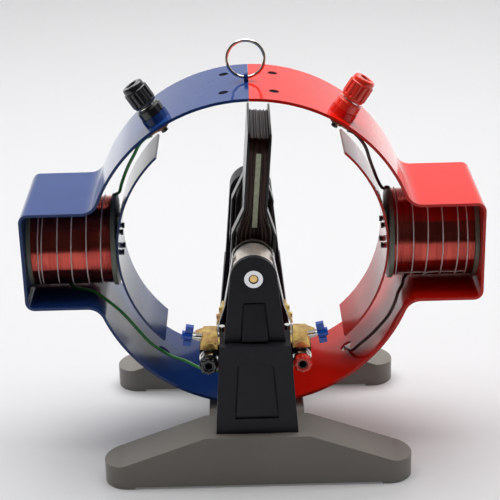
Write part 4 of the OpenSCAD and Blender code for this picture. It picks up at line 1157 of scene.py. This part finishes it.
class Terminals(SubAssembly):
    """The two posts on the front upright."""

    shape = TerminalShape()
    nut = RingShape(TerminalShape.start + 0.05 * MM, TerminalShape.start + TerminalShape.nut_end,
                    4.7 * MM, TerminalShape.bore + 0.02 * MM, 0.3 * MM, 0.4 * MM, 0.5 * MM)

    def place(self, side: Side) -> Matrix:
        """Returns the frame whose Z points to the front along the post."""
        return (Matrix.Translation((side.value * self.shape.x, 0, self.shape.z))
                @ Matrix.Rotation(math.pi / 2, 4, "X"))

    def cap(self, side: Side) -> bpy.types.Object:
        """Turns a cap with a smooth neck, from the nut outwards, and eight round lobes.

        The grip's radius is its outer radius less a depth times the square of the sine of
        four times the angle. The depth grows evenly from the neck, and the bore stays round.

        Args:
            side: the post's side.

        Returns:
            The cap.
        """
        s = self.shape
        a, n, g = s.bore / MM, s.neck_r / MM, s.grip_r / MM
        back, k, l = s.nut_end / MM + 0.15, s.neck / MM, s.length / MM
        rows = [(back, a), (back, n - 0.3), (back + 0.3, n), (k - 0.9, n), (k - 0.2, n + 0.5),
                (k + 0.3, g - 0.4), (k + 0.7, g)]
        rows += [(z, g) for z in np.linspace(k + 1.1, l - 0.9, 5)]
        rows += [(l - 0.5, g - 0.12), (l - 0.15, g - 0.45), (l, g - 0.9), (l, a + 0.35), (l - 0.35, a)]
        profile = np.array(rows) * MM + [[s.start, 0.0]]
        low = s.start + s.neck + 0.1 * MM

        def lobes(z: np.ndarray, angle: np.ndarray) -> np.ndarray:
            """Returns the depth between the lobes, negative inwards."""
            depth = -s.lobe * np.clip((z - low) / (0.8 * MM), 0, 1) * np.sin(4 * angle) ** 2
            return np.where(profile[:, 1:] > s.bore + 0.5 * MM, depth, 0.0)

        return lathe(f"shown_{side.word}_terminal_cap", profile, self.place(side), sides=96,
                     ripple=lobes, sharp=50, closed=True)

    def build(self) -> None:
        """Builds both posts."""
        for side in Side:
            cap = f"{side.tint}_terminal_cap"
            self.fit(self.cap(side), cap, f"{side.tint}_gloss", cap)
            nut = ring_piece(f"{side.word}_terminal_nut", self.nut, self.place(side), sides=6, sharp=25)
            self.fit(nut, "frame", "nickel")
        self.dress("dark_steel", "terminal_studs")
        self.soften("terminal_washers", "frame", "nickel", self.shape.washer_edge)


class BrushGear(SubAssembly):
    """Brackets, leaves and thumb screws."""

    sheet_edge: float = 0.15 * MM
    knob_edge: float = 0.4 * MM
    screw_edge: float = 0.25 * MM

    def build(self) -> None:
        """Rounds the sheet's edges and the knobs and dresses the rest."""
        for side in Side:
            w = side.word
            self.soften(f"{w}_brush_bracket", "frame", "passivated_brass", self.sheet_edge, segments=2)
            self.dress("steel", f"{w}_brush_leaf")
            self.soften(f"{w}_leaf_clamp", f"{w}_brush", "passivated_brass", self.sheet_edge, segments=2)
            self.soften(f"{w}_thumb_knob", f"{w}_thumb_screw", "knob_blue", self.knob_edge)
            self.dress("nickel", f"{w}_thumb_rod")
        self.soften("bracket_screws", "frame", "nickel", self.screw_edge)


@dataclass(frozen=True)
class LeadRoute:
    """A lead's listed points, from the shaft's axis, in millimetres."""

    name: str
    slot: str
    points: tuple[tuple[float, float, float], ...]


class Leads(SubAssembly):
    """The four insulated leads."""

    radius: float = 0.9 * MM
    routes: tuple[LeadRoute, ...] = (
        LeadRoute("left_post_lead", "green_wire", (
            (-52, -19, 66.9), (-55.7, -19.2, 65.5), (-59.4, -19.4, 61.6), (-61.9, -19.4, 56.9),
            (-65, -17.5, 51), (-68, -13.5, 43.9), (-70.9, -8, 35.6), (-72.8, -2, 29),
            (-75.2, 1, 26.4), (-76.5, 2, 25.2))),
        LeadRoute("right_post_lead", "dark_red_wire", (
            (52, -19, 66.9), (55.7, -19.2, 65.2), (59.5, -19.4, 60.9), (62.1, -19.4, 56.3),
            (63.9, -17.5, 50.3), (66.1, -13.5, 43.5), (69.4, -8, 34.1), (72.6, -2, 27.1),
            (75.2, 1, 26.4), (76.5, 2, 25.2))),
        LeadRoute("left_coil_lead", "green_wire", (
            (-104, -4, -24.4), (-100, -9, -25.4), (-95, -13, -24.8), (-91.2, -16, -24.1),
            (-87, -19.4, -24.4), (-81.2, -20.5, -28.8), (-73.2, -20.5, -36.8), (-65.1, -20.5, -47.6),
            (-59.3, -20.5, -55), (-53.3, -20.5, -60.2), (-47, -22, -63.6), (-39.4, -25, -65.2),
            (-33.4, -30, -66.1), (-28.5, -33.2, -66.6), (-24.2, -34.4, -67.2), (-19.5, -34.6, -66.6))),
        LeadRoute("right_coil_lead", "dark_red_wire", (
            (86, -8, -23.2), (84, -12, -23.6), (82.8, -17, -25), (80.2, -20.5, -28.1),
            (78.6, -20.5, -33.8), (75.3, -20.5, -41.6), (69.5, -20.5, -49.3), (64.4, -20.5, -54.8),
            (59.2, -20.3, -59.6), (55.1, -17, -65), (52.9, -9, -67.9), (52.8, -3.4, -69.7),
            (52.3, -0.5, -72), (52.8, 0.4, -76), (49, 0, -81), (42, -1, -87),
            (35, -2, -92), (29.5, -3, -94.6), (23, -3, -94.6))),
    )

    def build(self) -> None:
        """Sweeps each lead along its route."""
        for route in self.routes:
            points = np.array(route.points) * MM + [0, 0, AXIS_Z]
            piece = tube("shown_" + route.name, smooth_path(points, steps=8), self.radius, sides=14)
            self.fit(piece, "frame", route.slot, route.name)


@dataclass(frozen=True)
class WireShape:
    """Sizes of the wires that show on the armature's winding."""

    tilt: float = math.radians(4.4)
    half_x: float = 4.5 * MM
    wide_x: float = 8.6 * MM
    half_y: float = 30.0 * MM
    half_z: float = 65.4 * MM
    corner: float = 6.0 * MM
    side_steps: int = 25
    corner_steps: int = 9
    over_steps: int = 12
    bend_low: float = 12.3 * MM
    bend_high: float = 27.0 * MM
    stop: float = 6.0 * MM
    radius: float = 0.5 * MM
    count: int = 9
    seat: float = 0.32 * MM
    seat_spread: float = 0.14 * MM
    seat_step: float = 5.1
    lift: float = 0.35 * MM
    lift_step: float = 3.7
    lift_from: float = 0.8
    sway: float = 0.2 * MM
    sway_run: float = 9 * MM
    sway_step: float = 4.0
    sunk_tip: float = 0.6 * MM


class Armature(SubAssembly):
    """Everything that turns with the shaft."""

    shape = WireShape()
    plate_edge: float = 0.25 * MM

    def outline(self) -> np.ndarray:
        """Gives the winding's outline that the wires follow.

        It is a rectangle with quarter-circle corners in the plane of Y and Z, from near the
        shaft on the front face, over the end, to near the shaft on the rear face.

        Returns:
            Array of (y, z) rows.
        """
        s = self.shape
        turn = np.linspace(0, math.pi / 2, s.corner_steps)
        flat_y, flat_z = s.half_y - s.corner, s.half_z - s.corner
        up = np.linspace(s.stop, flat_z, s.side_steps + 1)[:-1]
        over = np.linspace(-flat_y, flat_y, s.over_steps + 2)[1:-1]
        side_y = np.concatenate([np.full(len(up), -s.half_y), -flat_y - s.corner * np.cos(turn)])
        side_z = np.concatenate([up, flat_z + s.corner * np.sin(turn)])
        y = np.concatenate([side_y, over, -side_y[::-1]])
        z = np.concatenate([side_z, np.full(len(over), s.half_z), side_z[::-1]])
        return np.column_stack([y, z])

    def wires(self) -> bpy.types.Object:
        """Lays the outermost wires over both ends of the winding.

        Each wire's middle lies under the winding's outline by a seat of its own, stands up by a
        lift of its own over the end, and spreads in X by a smooth step of its height where the
        winding bends round the shaft. It sways sideways as a sine of its height.

        Returns:
            The wires as one piece.
        """
        s = self.shape
        flat = self.outline()
        z = flat[:, 1]
        ahead = np.gradient(flat, axis=0)
        out = np.column_stack([-ahead[:, 1], ahead[:, 0]]) / np.linalg.norm(ahead, axis=1)[:, None]
        end = np.clip((z / s.half_z - s.lift_from) / (1 - s.lift_from), 0, 1) ** 2
        low = np.clip((s.bend_high - z) / (s.bend_high - s.bend_low), 0, 1)
        low = low * low * (3 - 2 * low)
        tips = np.zeros(len(z))
        tips[[0, -1]] = s.sunk_tip
        parts = []
        for half in (1, -1):
            for k, share in enumerate(np.linspace(-1, 1, s.count)):
                seat = s.seat + s.seat_spread * math.sin(s.seat_step * k + half)
                lift = s.lift * (1 + math.sin(s.lift_step * k + 2 * half))
                x = share * (s.half_x + low * (s.wide_x - s.half_x))
                x = x + s.sway * np.sin(z / s.sway_run + s.sway_step * k)
                place = flat + out * (lift * end - seat - tips)[:, None]
                path = np.column_stack([x, place[:, 0], place[:, 1] * half])
                parts.append(tube(f"wire_{k}", to_frame(path, about_y(s.tilt)), s.radius, 8))
        return joined("winding_wires", parts)

    def build(self) -> None:
        """Lays the wires and dresses the armature."""
        self.fit(self.wires(), "armature", "enamel_wire")
        # painted shade: the wires are repainted with the darker copy of the enamelled wire
        self.paint("shaded_rotor_wire", "winding_wires")
        self.soften("armature_plates", "armature", "plate_black", self.plate_edge, segments=2)
        # the winding's body gets the near-black painted shade
        self.dress("rotor_shade", "armature_winding")
        self.dress("iron", "armature_core")
        self.dress("strip_green", "winding_strips")
        self.dress("hub_brown", "commutator_hub")
        self.dress("segment_metal", "commutator_segments")
        self.dress("band_metal", "commutator_band")
        self.dress("brass", "shaft", "shaft_collars")


# ------------------------------------------------------------------ studio


def facing(side: Sequence[float], up: Sequence[float], back: Sequence[float],
           place: Sequence[float]) -> Matrix:
    """Gives the matrix that puts a camera or lamp in its place.

    Args:
        side: its local X axis.
        up: its local Y axis.
        back: its local Z axis, away from what it faces.
        place: where it is.

    Returns:
        The matrix with these as its columns.
    """
    m = Matrix.Identity(4)
    for row in range(3):
        m[row][0], m[row][1], m[row][2], m[row][3] = side[row], up[row], back[row], place[row]
    return m


@dataclass(frozen=True)
class View:
    """The photograph's camera: its place in metres, turns in radians and lens in pixels."""

    eye: tuple[float, float, float] = (-0.00284, -0.78068, 0.44452)
    yaw: float = -0.0155
    pitch: float = 0.3998
    roll: float = -0.0326
    focal: float = 1504.66
    shift: tuple[float, float] = (24.2, -3.7)
    frame: float = 500.0
    sensor: float = 36.0
    reach: float = 20.0


@dataclass(frozen=True)
class Bench:
    """Sizes and tones of the pale sweep, with the places along Y where they change."""

    front: float = -4.0
    back: float = 1.2
    radius: float = 1.0
    top: float = 3.0
    half: float = 4.0
    rough: float = 0.35
    specular: float = 0.25
    dark: Color = (0.07, 0.07, 0.07)
    pale: Color = (0.62, 0.62, 0.63)
    edge: float = -0.56
    edge_fade: float = 0.02
    seen: float = 0.11
    floor_glow: float = 0.32
    wall_glow: float = 0.74
    glow_start: float = 0.4
    glow_end: float = 1.0


@dataclass(frozen=True)
class Lamp:
    """A rectangular soft lamp: its place, its width and height, and its power in watts."""

    name: str
    place: tuple[float, float, float]
    size: tuple[float, float]
    power: float


class Studio:
    """Camera, pale sweep and soft lamps."""

    view = View()
    bench = Bench()
    aim: tuple[float, float, float] = (0, 0, 0.12)
    steep: float = 0.95
    lamps: tuple[Lamp, ...] = (
        Lamp("top", (0, 0.3, 1.3), (1.6, 1.2), 29),
        Lamp("left", (-1.3, -0.3, 0.6), (0.6, 0.8), 0.6),
        Lamp("right", (1.3, -0.3, 0.6), (0.6, 0.8), 0.6),
    )
    room_seen: float = 0.93
    room_mirrored: float = 0.05
    room_light: float = 0.07

    def camera(self) -> None:
        """Sets the camera that sees the motor as the photograph does.

        The view turns left by the yaw, down by the pitch and round by the roll. The lens is
        the focal length in pixels times the sensor's width over the frame's width.
        """
        v = self.view
        data = bpy.data.cameras.new("view")
        data.sensor_width = v.sensor
        data.sensor_fit = "HORIZONTAL"
        data.lens = v.focal * v.sensor / v.frame
        data.shift_x, data.shift_y = v.shift[0] / v.frame, v.shift[1] / v.frame
        data.clip_end = v.reach
        cy, sy = math.cos(v.yaw), math.sin(v.yaw)
        cp, sp = math.cos(v.pitch), math.sin(v.pitch)
        ahead = np.array([sy * cp, cy * cp, -sp])
        level = np.array([cy, -sy, 0.0])
        upright = np.cross(level, ahead)
        side = math.cos(v.roll) * level + math.sin(v.roll) * upright
        up = -math.sin(v.roll) * level + math.cos(v.roll) * upright
        obj = stand("view", data)
        obj.matrix_world = facing(side, up, -ahead, v.eye)
        bpy.context.scene.camera = obj

    def sweep(self) -> None:
        """Lays the pale floor that rises behind the motor in one curve.

        A flat strip runs back, then a quarter circle, then a wall.
        """
        b = self.bench
        turn = np.linspace(0, math.pi / 2, 25)
        y = np.concatenate([[b.front, 0.0], b.back + b.radius * np.sin(turn), [b.back + b.radius]])
        z = np.concatenate([[0.0, 0.0], b.radius - b.radius * np.cos(turn), [b.radius + b.top]])
        points = np.array([(x, *row) for row in zip(y, z) for x in (-b.half, b.half)])
        floor = mesh_object("bench_sweep", points, grid_faces(len(y), 2, False, False).tolist(), 60)
        if floor.data.polygons[0].normal.z < 0:
            floor.data.flip_normals()
        floor.data.materials.append(self.bench_finish())

    def bench_finish(self) -> bpy.types.Material:
        """Makes the sweep's material.

        The camera sees it pale and a little lit up. Other rays find it dark in front of the
        bench's edge, and polished pieces mirror a glow behind that edge that grows from the
        floor's to the wall's.

        Returns:
            The material.
        """
        b = self.bench
        g = Graph(bpy.data.materials.new("pale bench"), "Principled BSDF")
        rays = g.add("LightPath", {}).outputs
        camera, mirror, y = rays["Is Camera Ray"], rays["Is Glossy Ray"], g.along_y()
        beyond = g.span(y, 0.0, 1.0, b.edge - b.edge_fade, b.edge)
        base = g.ramp(g.combine("MAXIMUM", camera, beyond), [(0.0, b.dark), (1.0, b.pale)])
        far = g.span(y, b.floor_glow, b.wall_glow, b.glow_start, b.glow_end)
        glow = g.combine("MULTIPLY_ADD", g.combine("MULTIPLY", mirror, beyond), far,
                         g.combine("MULTIPLY", camera, b.seen))
        g.shade(Base_Color=base, Roughness=b.rough, Specular_IOR_Level=b.specular,
                Emission_Color=(1, 1, 1, 1), Emission_Strength=glow)
        return g.owner

    def hang(self, lamp: Lamp) -> None:
        """Hangs a lamp that faces the motor, with its width level.

        Args:
            lamp: the lamp.
        """
        data = bpy.data.lights.new(lamp.name, "AREA")
        data.shape = "RECTANGLE"
        data.size, data.size_y = lamp.size
        data.energy = lamp.power
        way = np.array(self.aim, float) - np.array(lamp.place, float)
        way /= np.linalg.norm(way)
        side = np.cross(way, (0, 0, 1) if abs(way[2]) < self.steep else (0, 1, 0))
        side /= np.linalg.norm(side)
        obj = stand(lamp.name, data)
        obj.matrix_world = facing(side, np.cross(side, way), -way, lamp.place)

    def room(self) -> None:
        """Sets the world's even light, with strengths of its own for the camera and for mirrors."""
        world = bpy.data.worlds.new("room")
        bpy.context.scene.world = world
        g = Graph(world, "Background")
        rays = g.add("LightPath", {}).outputs
        mirrored = g.span(rays["Is Glossy Ray"], self.room_light, self.room_mirrored)
        seen = g.span(rays["Is Camera Ray"], mirrored, self.room_seen)
        g.shade(Color=(1, 1, 1, 1), Strength=seen)

    def build(self) -> None:
        """Sets up the whole studio."""
        self.camera()
        self.sweep()
        for lamp in self.lamps:
            self.hang(lamp)
        self.room()
        bpy.context.scene.view_settings.view_transform = "Standard"


def main() -> None:
    """Builds the motor's looks in order."""
    logging.basicConfig(level=logging.INFO, format="%(name)s: %(message)s")
    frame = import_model()
    paints = Paintbox()
    Studio().build()
    for group in (Base, Uprights, Yoke, FieldCoils, TopPosts, Terminals, BrushGear, Leads, Armature):
        group(frame, paints).build()
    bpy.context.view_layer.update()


if __name__ == "__main__":
    main()
